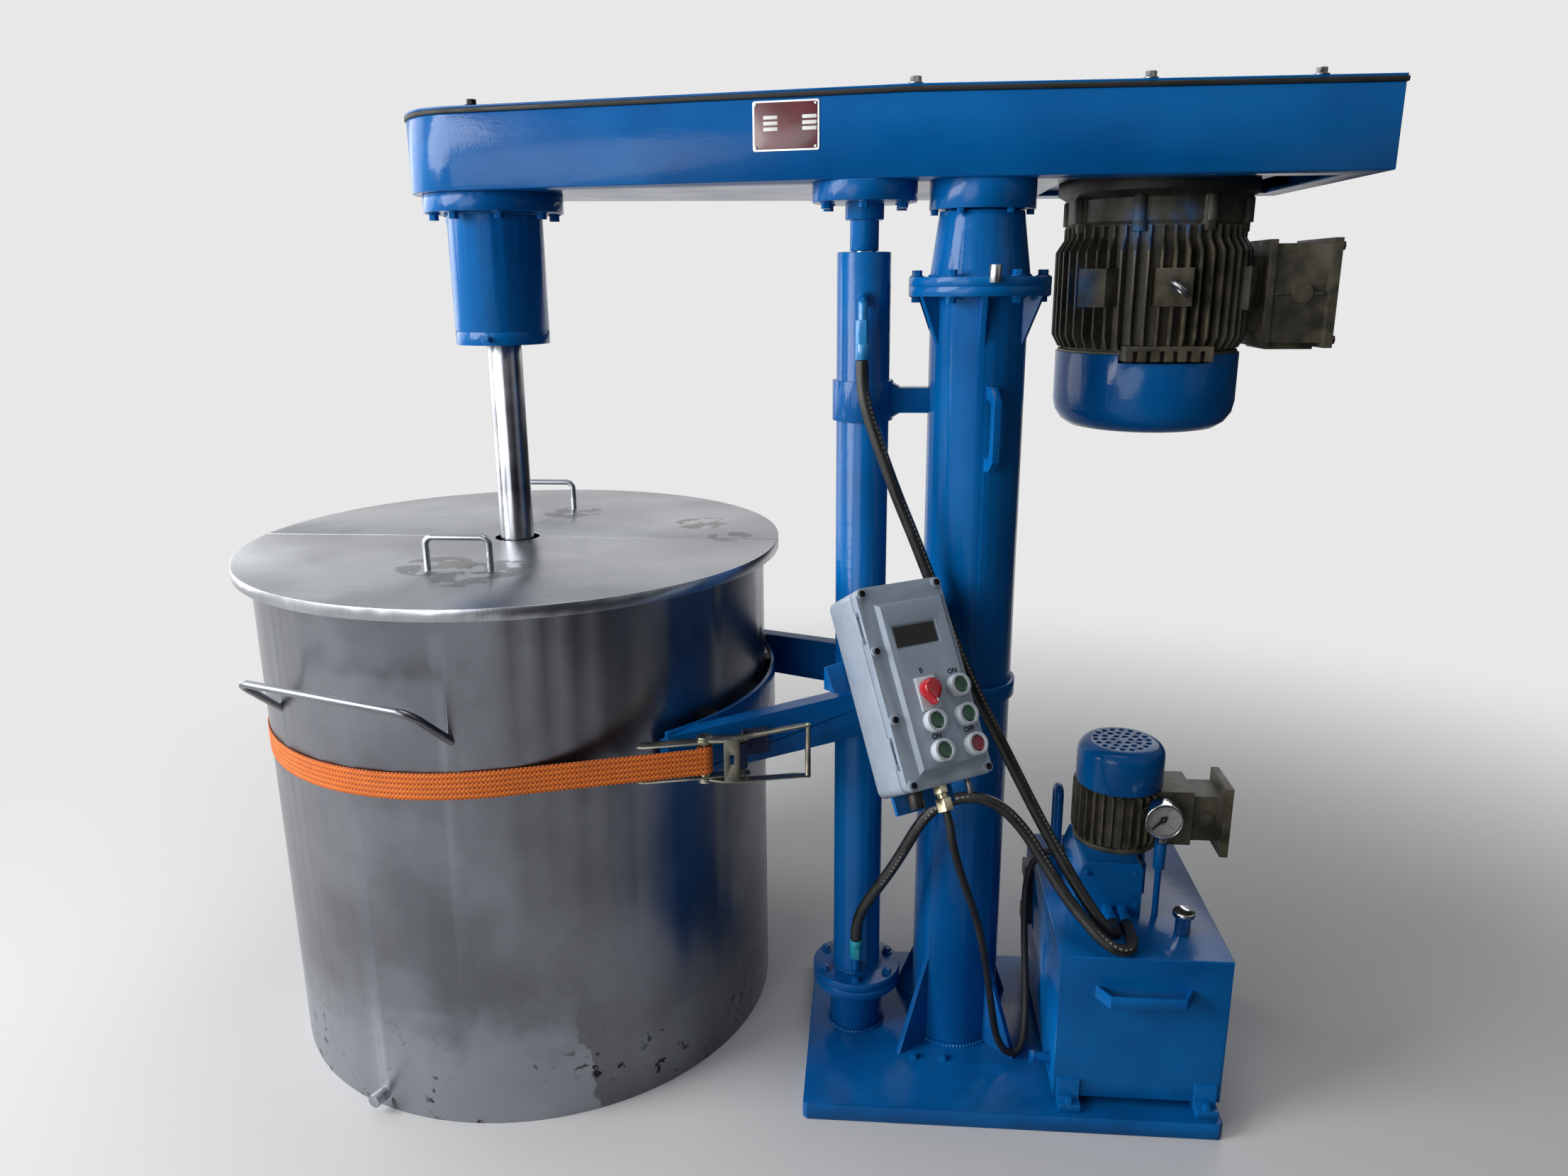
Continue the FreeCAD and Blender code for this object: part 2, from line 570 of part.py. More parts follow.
def make_frame_bolts():
    flange_top = "base_thick + pedestal_high + cylinder_flange_thick * 2"
    heads = bolt_ring(6, "column_flange_radius - 14", "column_top + head_flange_thick")
    heads += bolt_ring(6, "column_flange_radius - 14", "column_top - column_flange_thick", along="-z")
    heads += bolt_ring(6, "cylinder_flange_radius - 15", flange_top, 8, 7, "-cylinder_offset", 0, 30)
    for x, y, z in ((-25, -125, "base_thick"), (-83, -125, "base_thick"),
                    ("pack_left + 28", "-pack_half_deep - 16", "pack_low"),
                    ("pack_right - 28", "-pack_half_deep - 16", "pack_low")):
        heads += bolt_ring(1, 0, z, 7, 7, x, y)
    angle = math.radians(-84)
    reach = size("column_flange_radius") + 10.3
    heads.append(cylinder(10, 28, reach * math.cos(angle), reach * math.sin(angle), "column_top + 6"))
    piece("frame_bolts", group(*heads))


# belt beam seen from above: straight rear half, tapering flanks and a round nose at the spindle
def draw_beam(drawing, grow="0"):
    right, half, nose = size("beam_right"), size("beam_half_wide"), size("beam_nose_radius")
    crease, reach = size("beam_crease"), size("spindle_offset")
    run = reach - crease
    turn = math.atan2(half, run) + math.acos(nose / math.hypot(half, run))
    middle = Vector(-reach, 0, 0)
    touch = middle + Vector(nose * math.cos(turn), nose * math.sin(turn), 0)
    corners = [Vector(-crease, -half, 0), Vector(right, -half, 0), Vector(right, half, 0),
               Vector(-crease, half, 0), touch]
    for start, end in zip(corners, corners[1:]):
        drawing.addGeometry(Part.LineSegment(start, end), False)
    drawing.addGeometry(Part.ArcOfCircle(Part.Circle(middle, UP, nose), turn, 2 * math.pi - turn), False)
    drawing.addGeometry(Part.LineSegment(Vector(touch.x, -touch.y, 0), corners[0]), False)
    rules = [Sketcher.Constraint("Coincident", i, 2, i + 1, 1) for i in range(3)]
    rules += [Sketcher.Constraint("Tangent", 3, 2, 4, 1), Sketcher.Constraint("Tangent", 4, 2, 5, 1),
              Sketcher.Constraint("Coincident", 5, 2, 0, 1)]
    drawing.addConstraint(rules)
    far, wide = f"beam_right + ({grow})", f"beam_half_wide + ({grow})"
    hold(drawing, 0, 1, "-beam_crease", f"-({wide})", corners[0])
    hold(drawing, 1, 1, far, f"-({wide})", corners[1])
    hold(drawing, 2, 1, far, wide, corners[2])
    hold(drawing, 3, 1, "-beam_crease", wide, corners[3])
    hold(drawing, 4, 3, "-spindle_offset", 0, middle)
    rule = drawing.addConstraint(Sketcher.Constraint("Radius", 4, nose))
    drawing.setExpression(f"Constraints[{rule}]", ex(f"beam_nose_radius + ({grow})"))


def beam_slab(name, low, height, grow="0", floor=None):
    body = new_body(name)
    outline = new_sketch(body, "XY_Plane", low)
    draw_beam(outline, grow)
    feature(body, "Pad", outline, Length=height)
    if floor is not None:
        inside = new_sketch(body, "XY_Plane", f"{low} + {height}")
        draw_beam(inside, "-beam_wall")
        feature(body, "Pocket", inside, Length=f"{height} - {floor}")
    return body


def make_beam():
    housing = beam_slab("beam", "beam_floor", "beam_high", "0", "beam_wall")
    motor_way = new_sketch(housing, "XY_Plane", "beam_floor + beam_wall")
    draw_polygon(motor_way, [("opening_left", "-opening_half_wide"), ("opening_right", "-opening_half_wide"),
                             ("opening_right", "opening_half_wide"), ("opening_left", "opening_half_wide")])
    feature(housing, "Pocket", motor_way, Length="beam_wall")
    shaft_hole = new_sketch(housing, "XY_Plane", "beam_floor + beam_wall")
    draw_circle(shaft_hole, "-spindle_offset", 0, "shaft_way")
    feature(housing, "Pocket", shaft_hole, Length="beam_wall")
    gasket = beam_slab("gasket", "beam_floor + beam_high", "gasket_thick", "gasket_lip", "0")
    cover = beam_slab("cover", "beam_floor + beam_high + gasket_thick", "cover_thick", "cover_lip")
    for label, body in (("beam_housing", housing), ("beam_gasket", gasket), ("beam_cover", cover)):
        piece(label, put(body, 0, "beam_line", 0))


def make_spindle_housing():
    x, y = "-spindle_offset", "beam_line"
    bore = "housing_radius - housing_wall"
    low = "beam_floor - housing_flange_thick"
    piece("spindle_housing", turned("housing", [
        (bore, "housing_low"), ("housing_radius", "housing_low"), ("housing_radius", low),
        ("housing_flange_radius", low), ("housing_flange_radius", "beam_floor"),
        (bore, "beam_floor")], x, y))
    rings = [tube(f"{bore} - run_gap", "spindle_journal + run_gap", "bearing_high", x, y, z)
             for z in ("housing_low + seat", f"{low} - bearing_high")]
    piece("spindle_bearings", group(*rings))
    cap = tube("housing_radius", "spindle_radius + run_gap", "cap_thick", x, y, "housing_low - cap_thick")
    nipple = cylinder(5, 12, x, "beam_line - housing_radius + 1", "housing_low - cap_thick / 2", "-y")
    piece("housing_cap", fuse(cap, nipple))


def make_spindle():
    x, y = "-spindle_offset", "beam_line"
    low = "housing_low + bearing_high + seat * 2"
    high = "beam_floor - housing_flange_thick - bearing_high - seat"
    piece("spindle_shaft", turned("shaft", [
        (0, "spindle_foot - impeller_hub_high - 6"), ("spindle_tail", "spindle_foot - impeller_hub_high - 6"),
        ("spindle_tail", "spindle_foot"), ("spindle_radius", "spindle_foot"),
        ("spindle_radius", "housing_low"), ("spindle_journal", "housing_low"), ("spindle_journal", low),
        ("spindle_shoulder", low), ("spindle_shoulder", high), ("spindle_journal", high),
        ("spindle_journal", "pulley_low"), ("spindle_nose", "pulley_low"),
        ("spindle_nose", "spindle_top"), (0, "spindle_top")], x, y))
    make_impeller(x, y)


# a disc with teeth bent up and down by turns round its edge
def make_impeller(x, y):
    low = "spindle_foot - impeller_thick"
    bore = "spindle_tail + run_gap"
    disc = turned("disc", [
        (bore, "spindle_foot - impeller_hub_high"), ("impeller_hub_radius", "spindle_foot - impeller_hub_high"),
        ("impeller_hub_radius", low), ("impeller_radius", low), ("impeller_radius", "spindle_foot"),
        (bore, "spindle_foot")])
    teeth = []
    count = int(size("impeller_teeth"))
    for i in range(count):
        foot = low if i % 2 else "spindle_foot - impeller_tooth"
        tooth = box("impeller_thick", "impeller_tooth * 1.5", "impeller_tooth",
                    "impeller_radius - impeller_thick - 1", "-impeller_tooth * 0.75", foot)
        teeth.append(turned_to(tooth, 360 * i / count))
    piece("impeller", put(group(fuse(disc, *teeth)), x, y, 0))


def belt_low(index):
    return f"pulley_low + (pulley_high - belt_pitch * (belt_count - 1) - belt_wide) / 2 + belt_pitch * {index}"


def pulley_section(radius, bore):
    top = "pulley_low + pulley_high"
    corners = [(bore, "pulley_low"), (radius, "pulley_low")]
    floor = f"{radius} - belt_deep - seat"
    for i in range(int(size("belt_count"))):
        low = f"{belt_low(i)} - seat"
        high = f"{belt_low(i)} + belt_wide + seat"
        corners += [(radius, low), (floor, low), (floor, high), (radius, high)]
    return corners + [(radius, top), (bore, top)]


def make_pulleys():
    piece("spindle_pulley", turned("small_pulley", pulley_section(
        "spindle_pulley_radius", "spindle_nose + run_gap"), "-spindle_offset", "beam_line"))
    piece("motor_pulley", turned("big_pulley", pulley_section(
        "motor_pulley_radius", "motor_shaft_radius + run_gap"), "motor_offset", "beam_line"))


# an endless loop round both pulleys, drawn as two arcs and two tangent runs
def draw_loop(drawing, depth):
    small, large = size("spindle_pulley_radius"), size("motor_pulley_radius")
    left, right = -size("spindle_offset"), size("motor_offset")
    lean = math.asin((large - small) / (right - left))
    arcs = [(left, small, math.pi / 2 + lean, 3 * math.pi / 2 - lean),
            (right, large, -math.pi / 2 - lean, math.pi / 2 + lean)]
    ends = []
    for x, radius, start, end in arcs:
        middle = Vector(x, 0, 0)
        drawing.addGeometry(Part.ArcOfCircle(Part.Circle(middle, UP, radius), start, end), False)
        ends += [middle + Vector(radius * math.cos(turn), radius * math.sin(turn), 0) for turn in (start, end)]
    drawing.addGeometry(Part.LineSegment(ends[1], ends[2]), False)
    drawing.addGeometry(Part.LineSegment(ends[3], ends[0]), False)
    joins = [(0, 2, 2, 1), (2, 2, 1, 1), (1, 2, 3, 1), (3, 2, 0, 1)]
    drawing.addConstraint([Sketcher.Constraint("Tangent", *join) for join in joins])
    for arc, x, radius, start in ((0, "-spindle_offset", "spindle_pulley_radius", left),
                                  (1, "motor_offset", "motor_pulley_radius", right)):
        hold(drawing, arc, 3, x, 0, Vector(start, 0, 0))
        rule = drawing.addConstraint(Sketcher.Constraint("Radius", arc, size(radius)))
        drawing.setExpression(f"Constraints[{rule}]", ex(f"{radius} - {depth}"))


def make_belts():
    belts = []
    for i in range(int(size("belt_count"))):
        body = new_body("belt")
        outer = new_sketch(body, "XY_Plane", belt_low(i))
        draw_loop(outer, 0)
        feature(body, "Pad", outer, Length="belt_wide")
        inner = new_sketch(body, "XY_Plane", f"{belt_low(i)} + belt_wide")
        draw_loop(inner, "belt_deep")
        feature(body, "Pocket", inner, Length="belt_wide")
        belts.append(put(body, 0, "beam_line", 0))
    piece("drive_belts", group(*belts))


# fins or blades on a turned body, repeated round its axis
def add_fins(body, outline, count, thick):
    drawing = new_sketch(body, "XZ_Plane", f"0 - ({thick}) / 2")
    draw_polygon(drawing, outline)
    fin = feature(body, "Pad", drawing, Length=thick)
    repeat_round(body, fin, count)


# main motor, hung under the beam with its shaft upwards
def make_motor():
    x, y = "motor_offset", "beam_line"
    top = "beam_floor + beam_wall"
    flange_low = f"{top} - motor_flange_thick"
    bore = "motor_shaft_radius + run_gap"
    shield = "cowl_radius - cowl_wall - run_gap"
    core = turned("motor_core", [
        (bore, "motor_low - motor_shield_thick"), (shield, "motor_low - motor_shield_thick"),
        (shield, "motor_low"), ("motor_core_radius", "motor_low"), ("motor_core_radius", "motor_fin_top - 6"),
        ("motor_bell_radius", "motor_fin_top"), ("motor_bell_radius", f"{flange_low} - 12"),
        ("motor_flange_radius", flange_low), ("motor_flange_radius", top), (bore, top)])
    add_fins(core, [
        ("motor_core_radius - 4", "motor_low + 4"), ("motor_fin_radius - 12", "motor_low + 4"),
        ("motor_fin_radius", "motor_low + 26"), ("motor_fin_radius", "motor_fin_top - 50"),
        ("motor_fin_radius - 14", "motor_fin_top - 28"), ("motor_fin_radius - 14", "motor_fin_top - 8"),
        ("motor_core_radius - 4", "motor_fin_top - 8")], "motor_fin_count", "motor_fin_thick")
    parts = [core, motor_foot(), terminal_neck()]
    for px, py, _ in round_places(8, "motor_bell_radius - 4", start=22.5):
        parts.append(cylinder("motor_boss_radius", f"{top} - motor_fin_top + 18", px, py, "motor_fin_top - 18"))
    for turn, wide, rise, high in ((-135, 56, 78, 66), (-90, 60, 80, 64), (-32, 40, 72, 74)):
        pad = box("motor_pad_out - motor_core_radius + 4", wide, high, "motor_core_radius - 4", -wide / 2,
                  f"motor_low + {rise}")
        parts.append(turned_to(pad, turn))
    piece("motor_frame", put(group(fuse(*parts)), x, y, 0))


def terminal_neck():
    return box("terminal_start - motor_core_radius + 4", 120, 130, "motor_core_radius - 4", -60,
               "terminal_low + 30")


# the ribbed foot pad that shows in the gap of the cowl
def motor_foot():
    base = box("motor_foot_wide", "motor_foot_out - 130", "motor_foot_high", "-motor_foot_wide / 2",
               "-motor_foot_out", "motor_low + 12 - motor_foot_high")
    slots = [box(9, 24, "motor_foot_high", -62 + 23 * i, "-motor_foot_out - 4",
                 "motor_low + 4 - motor_foot_high") for i in range(6)]
    return cut(base, *slots)


def make_motor_plate():
    wide = "opening_half_wide + motor_plate_lap"
    left, right = "motor_offset - motor_flange_radius", "motor_offset + motor_flange_radius"
    body = slab("motor_plate", [(left, f"-({wide})"), (right, f"-({wide})"), (right, wide), (left, wide)],
                "beam_floor + beam_wall", "motor_plate_thick", 0, "beam_line")
    bore = new_sketch(body, "XY_Plane", "beam_floor + beam_wall + motor_plate_thick")
    draw_circle(bore, "motor_offset", 0, "motor_collar_radius + 20")
    feature(body, "Pocket", bore, Length="motor_plate_thick")
    piece("motor_plate", body)


def make_motor_shaft():
    x, y = "motor_offset", "beam_line"
    low = "motor_low - motor_shield_thick - motor_fan_high - 8"
    collar = "beam_floor + beam_wall + seat"
    piece("motor_shaft", turned("motor_axle", [
        (0, low), ("motor_shaft_radius", low), ("motor_shaft_radius", collar), ("motor_collar_radius", collar),
        ("motor_collar_radius", "pulley_low"), ("motor_shaft_radius", "pulley_low"),
        ("motor_shaft_radius", "pulley_low + pulley_high + 8"), (0, "pulley_low + pulley_high + 8")], x, y))
    fan_top = "motor_low - motor_shield_thick - 6"
    hub, bore = "motor_shaft_radius + 14", "motor_shaft_radius + run_gap"
    fan = turned("fan", [(bore, f"{fan_top} - motor_fan_high"), (hub, f"{fan_top} - motor_fan_high"),
                         (hub, f"{fan_top} - 4"), ("motor_fan_radius", f"{fan_top} - 4"),
                         ("motor_fan_radius", fan_top), (bore, fan_top)])
    add_fins(fan, [(f"{hub} - 3", f"{fan_top} - motor_fan_high + 4"),
                   ("motor_fan_radius - 16", f"{fan_top} - motor_fan_high + 4"),
                   ("motor_fan_radius", f"{fan_top} - 2"), (f"{hub} - 3", f"{fan_top} - 2")], 9, 5)
    piece("motor_fan", put(fan, x, y, 0))


# half section of a cup with a rolled shoulder; way is 1 when its closed end is below
def cowl_section(radius, corner, end, rim, way):
    outer, inner = [], []
    for i in range(5):
        turn = 22.5 * i
        outer.append((f"{radius} - {corner} + {corner} * sin({turn})",
                      f"{end} + {way} * ({corner} - {corner} * cos({turn}))"))
        turn = 90 - turn
        inner.append((f"{radius} - {corner} + ({corner} - cowl_wall) * sin({turn})",
                      f"{end} + {way} * ({corner} - ({corner} - cowl_wall) * cos({turn}))"))
    return [(0, end)] + outer + [(radius, rim), (f"{radius} - cowl_wall", rim)] + inner + [
        (0, f"{end} + {way} * cowl_wall")]


# rings of round air holes through the closed end
def cowl_holes(body, level, hole, reach, rings, upwards):
    for ring in range(1, rings + 1):
        drawing = new_sketch(body, "XY_Plane", level)
        draw_circle(drawing, f"({reach}) * {ring} / {rings}", 0, hole)
        obj = feature(body, "Pocket", drawing, Length="cowl_wall * 2")
        obj.Reversed = upwards
        repeat_round(body, obj, 6 * ring)


def make_motor_cowl():
    body = turned("cowl", cowl_section("cowl_radius", "cowl_round", "cowl_low", "cowl_top", 1))
    cowl_holes(body, "cowl_low - 1", 9, "cowl_radius - cowl_round - 14", 3, True)
    wide = "motor_foot_wide + 8"
    foot_way = box(wide, 60, 60, f"-({wide}) / 2", "-cowl_radius - 20",
                   "motor_low + 8 - motor_foot_high")
    piece("motor_cowl", put(group(cut(body, foot_way)), "motor_offset", "beam_line", 0))


# terminal box: base flange, case, lid and a plate for the cable glands below
def make_terminal_box():
    start = "motor_offset + terminal_start"
    low = "terminal_low"
    base = box("terminal_base", "terminal_wide - 4", "terminal_high - 4", start,
               "beam_line - terminal_wide / 2 + 2", f"{low} + 2")
    case = box("terminal_deep", "terminal_wide - 18", "terminal_high - 18", start,
               "beam_line - terminal_wide / 2 + 9", f"{low} + 9")
    lid = box("terminal_lid", "terminal_wide", "terminal_high", f"{start} + terminal_deep",
              "beam_line - terminal_wide / 2", low)
    feet = box("terminal_deep - 24", 110, 14, f"{start} + 20", "beam_line - 55", f"{low} - 4")
    side = "beam_line - terminal_wide / 2 + 10"
    boss = cylinder(18, 9, f"{start} + terminal_deep * 0.6", side, f"{low} + terminal_high / 2", "-y")
    rib = box("terminal_deep - 20", 6, 5, f"{start} + 16", "beam_line - terminal_wide / 2 + 4",
              f"{low} + terminal_high / 2 - 2.5")
    screws = [cylinder(6, 8, f"{start} + terminal_deep + terminal_lid - 1", f"beam_line + {dy}",
                       f"{low} + {dz}", "x") for dy in (-80, 80) for dz in (14, 176)]
    piece("motor_terminal_box", fuse(base, case, lid, feet, boss, rib, *screws))


# bolts that travel with the head, and the eyebolt of the motor
def make_head_bolts():
    ram_low = "column_top + head_flange_thick + head_cone_rise + ram_gap"
    heads = []
    for px, py, _ in round_places(6, "ram_flange_radius - 9"):
        heads.append(hexagon(6.5, 8, px, py, ram_low, "-z"))
    heads += bolt_ring(6, "rod_flange_radius - 16", "beam_floor - rod_flange_thick", 9, 9,
                       "-cylinder_offset", 0, 30, "-z")
    heads += bolt_ring(8, "housing_flange_radius - 18", "beam_floor - housing_flange_thick", 10, 11,
                       "-spindle_offset", "beam_line", 22.5, "-z")
    top = "beam_floor + beam_high + gasket_thick + cover_thick"
    for x, out in ((-894, 138), (-120, 272), (246, 272), (504, 272)):
        for side in (-1, 1):
            heads += bolt_ring(1, 0, top, 9, 9, x, f"beam_line + {side * out}")
    face = "beam_line - motor_pad_out"
    stem = cylinder(7, 14, "motor_offset", face, "eye_level", "-y")
    eye = bend(16, 5, "motor_offset", f"{face} - 28", "eye_level", Rotation(Vector(0, 1, 0), 42), 360)
    heads.append(fuse(stem, eye))
    piece("head_bolts", group(*heads))


# mixing tank with a rolled rim, a drain stub and two bent bar handles
def make_tank():
    shell = turned("tank", [
        (0, 0), ("tank_radius", 0), ("tank_radius", "tank_high - rim_thick"),
        ("tank_radius + rim_wide", "tank_high - rim_thick"), ("tank_radius + rim_wide", "tank_high"),
        ("tank_radius - tank_wall", "tank_high"), ("tank_radius - tank_wall", "tank_floor"),
        (0, "tank_floor")])
    drain = cylinder("tank_drain_radius", 30, "tank_radius - 2", 0, "tank_drain_level", "x")
    hollow = cylinder("tank_radius - tank_wall / 2", "tank_high")
    bars = [cut(tank_bar(size("tank_handle_angle") + opposite), hollow) for opposite in (0, 180)]
    solid = fuse(shell, turned_to(drain, -size("tank_drain_angle")), *bars)
    piece("tank_shell", put(group(solid), "-spindle_offset", "beam_line", 0))


# a bent rod whose feet land on the tank wall and whose bar leans up and outwards
def tank_bar(angle):
    half = size("tank_handle_span") / 2
    foot_radius = size("tank_radius") - 8
    bar = bent_rod("tank_bar", "tank_handle_span", "tank_handle_reach", "tank_handle_bend", "tank_handle_rod")
    lean = Rotation(Vector(1, 0, 0), 90 - size("tank_handle_tilt"))
    spin = Rotation(UP, angle + 90)
    foot = Vector(-half, -math.sqrt(foot_radius ** 2 - half ** 2), size("tank_handle_low"))
    return posed(bar, Placement(spin.multVec(foot), spin * lean))


def make_lid(label, side):
    low = "tank_high + seat"
    top = f"{low} + lid_plate"
    disc = turned("lid", [
        ("lid_hole", low), ("lid_radius - lid_plate", low),
        ("lid_radius - lid_plate", f"{top} - lid_skirt"), ("lid_radius", f"{top} - lid_skirt"),
        ("lid_radius", top), ("lid_hole", top)])
    edge = "-lid_split - lid_radius * 1.1" if side < 0 else "lid_split"
    half = common(disc, box("lid_radius * 2.2", "lid_radius * 1.1", "lid_skirt * 2", "-lid_radius * 1.1",
                            edge, f"{top} - lid_skirt * 1.5"))
    bar = bent_rod("lid_bar", "lid_handle_span", "lid_handle_rise", "lid_handle_bend", "lid_handle_rod")
    put(bar, "-lid_handle_left", f"{side} * lid_handle_reach", f"{top} - 1")
    piece(label, put(group(fuse(half, bar)), "-spindle_offset", "beam_line", 0))


# the way from the column to the tank, in degrees and as a length
def tank_way():
    return math.degrees(math.atan2(size("beam_line"), -size("spindle_offset")))


# the arms spread so far that the tank bulges past their outer faces by one depth
def arm_splay():
    reach, root = tank_local().x, size("arm_root")
    out = size("tank_radius") - size("arm_bite") - size("arm_thick") / 2
    return math.degrees(math.atan2(root, reach) + math.asin(out / math.hypot(reach, root)))


def arm_turn(side):
    drop = size("front_arm_drop" if side > 0 else "rear_arm_drop")
    return Rotation(UP, side * arm_splay()) * Rotation(Vector(0, 1, 0), drop)


# two sloping arms, a collar round the column and a band behind the tank
def make_fork():
    reach = "sqrt(spindle_offset ^ 2 + beam_line ^ 2)"
    arms = []
    for side in (1, -1):
        bar = box("arm_long", "arm_thick", "arm_high", 0, "-arm_thick / 2", "-arm_high / 2")
        start = Vector(0, side * size("arm_root"), size("arm_level"))
        arms.append(posed(bar, Placement(start, arm_turn(side))))
    collar = cylinder("collar_radius", "collar_high", 0, 0, "collar_low")
    frame = cut(fuse(collar, *arms), cylinder("column_radius + run_gap", "arm_level * 2"),
                cylinder("tank_radius + band_gap", "arm_level * 2", reach))
    band = fork_sector("tank_radius + band_gap + band_thick", "tank_radius + band_gap",
                       "band_half_angle", "band_low", "band_high", 180)
    piece("tank_fork", turned_to(fuse(frame, posed(band, Placement(tank_local(), Rotation()))), tank_way()))
    pads = [posed(fork_pad(turn), Placement(tank_local(), Rotation())) for turn in
            (180 - size("pad_angle"), 180 + size("pad_angle"))]
    piece("fork_pads", turned_to(group(*pads), tank_way()))


def tank_local():
    return Vector(math.hypot(size("spindle_offset"), size("beam_line")), 0, 0)


# part of a ring about the tank axis, even on both sides of a direction
def fork_sector(outer, inner, half_angle, low, high, direction):
    parts = []
    for radius in (outer, inner):
        part = cylinder(radius, high, 0, 0, low)
        part.setExpression("Angle", ex(f"{half_angle} * 2"))
        parts.append(turned_to(part, direction - size(half_angle)))
    return cut(*parts)


def fork_pad(direction):
    outer = "tank_radius + band_gap - run_gap"
    ring = tube(outer, "tank_radius + seat", "pad_high", 0, 0, "pad_low")
    window = box(outer, "pad_wide", "pad_high", 0, "-pad_wide / 2", "pad_low")
    return common(ring, turned_to(window, direction))


# a place beside the tank: out from its axis at the point where the strap leaves, then along the strap
def strap_point(out, along):
    leave = math.radians(size("strap_leave"))
    x = -size("spindle_offset") + out * math.cos(leave) + along * math.sin(leave)
    y = size("beam_line") - out * math.sin(leave) + along * math.cos(leave)
    return Vector(x, y, 0)


# where the outer face of a fork arm runs: a point on it and the way it heads from the column
def arm_face(side):
    turn = tank_way() + side * arm_splay()
    root = Rotation(UP, tank_way()).multVec(Vector(0, side * size("arm_root"), 0))
    out = Rotation(UP, turn).multVec(Vector(0, side, 0))
    heading = Rotation(UP, turn).multVec(Vector(1, 0, 0))
    return root + out * (size("arm_thick") / 2 + size("seat")), heading, out


# a flat run of strap from a point along a direction, its thickness to the left or the right
def strap_run(start, heading, length, left=True):
    shift = "0" if left else "-strap_thick"
    run = box(length, "strap_thick", "strap_wide * 4", 0, shift, "strap_level - strap_wide * 2")
    turn = math.degrees(math.atan2(heading.y, heading.x))
    return posed(run, Placement(Vector(start.x, start.y, 0), Rotation(UP, turn)))


# the long strap hugs the tank, enters the winding rod in front and is bolted to the rear arm
def long_strap():
    inner, outer = "tank_radius + soft_gap", "tank_radius + soft_gap + strap_thick"
    radius = size("tank_radius") + size("soft_gap")
    thick = size("strap_thick")
    low, high = "strap_level - strap_wide * 2", "strap_wide * 4"
    leave, back = -size("strap_leave"), size("strap_back")
    parts = []
    for ring in (outer, inner):
        part = cylinder(ring, high, 0, 0, low)
        part.setExpression("Angle", ex("360 - strap_leave - strap_back"))
        parts.append(turned_to(part, back))
    hug = put(group(cut(*parts)), "-spindle_offset", "beam_line", 0)
    heading = Rotation(UP, leave + 90).multVec(Vector(1, 0, 0))
    front = strap_run(strap_point(radius + thick, -1), heading, "strap_run - mandrel_radius")
    centre = strap_point(radius + thick / 2, size("strap_run"))
    wrap = cut(cylinder("strap_wrap", high, centre.x, centre.y, low),
               cylinder("mandrel_radius + seat", high, centre.x, centre.y, low))
    out = Rotation(UP, back).multVec(Vector(1, 0, 0))
    tangent = Rotation(UP, back - 90).multVec(Vector(1, 0, 0))
    axis = Vector(-size("spindle_offset"), size("beam_line"), 0)
    start = axis + out * radius
    root, arm_heading, arm_out = arm_face(-1)
    length = (root - start).dot(arm_out) / tangent.dot(arm_out)
    rear = strap_run(start - tangent, tangent, length + 1)
    flap = strap_run(start + tangent * length, arm_heading * -1, "strap_flap")
    return fuse(hug, front, wrap, rear, flap)


# the short strap loops round the anchor rod and back to the front arm
def short_strap():
    low, high = "strap_level - strap_wide * 2", "strap_wide * 4"
    gap = size("anchor_radius") + size("seat")
    thick = size("strap_thick")
    place = strap_point(size("tank_radius") + size("soft_gap") + thick / 2,
                        size("strap_run") + size("anchor_along"))
    loop = cut(cylinder("anchor_radius + seat + strap_thick", high, place.x, place.y, low),
               cylinder("anchor_radius + seat", high, place.x, place.y, low))
    root, heading, out = arm_face(1)
    side = heading * -1
    length = (place - root).dot(out)
    start = place + side * gap
    run = strap_run(start, out * -1, length, False)
    foot = start - out * length
    flap = strap_run(foot, side, "strap_flap", False)
    return fuse(loop, run, flap)


def make_straps():
    centre = Vector(-size("spindle_offset"), size("beam_line"), size("strap_level"))
    slope = Rotation(Vector(0, 1, 0), -size("strap_slope"))
    level = box("tank_radius * 4", "tank_radius * 4", "strap_wide", "-tank_radius * 2", "-tank_radius * 2",
                "-strap_wide / 2")
    window = posed(level, Placement(centre, slope))
    piece("tank_strap", group(common(long_strap(), window), common(short_strap(), window)))


def ratchet_place():
    centre = strap_point(size("tank_radius") + size("soft_gap") + size("strap_thick") / 2, size("strap_run"))
    return Placement(Vector(centre.x, centre.y, size("ratchet_level")), Rotation(UP, 90 - size("strap_leave")))


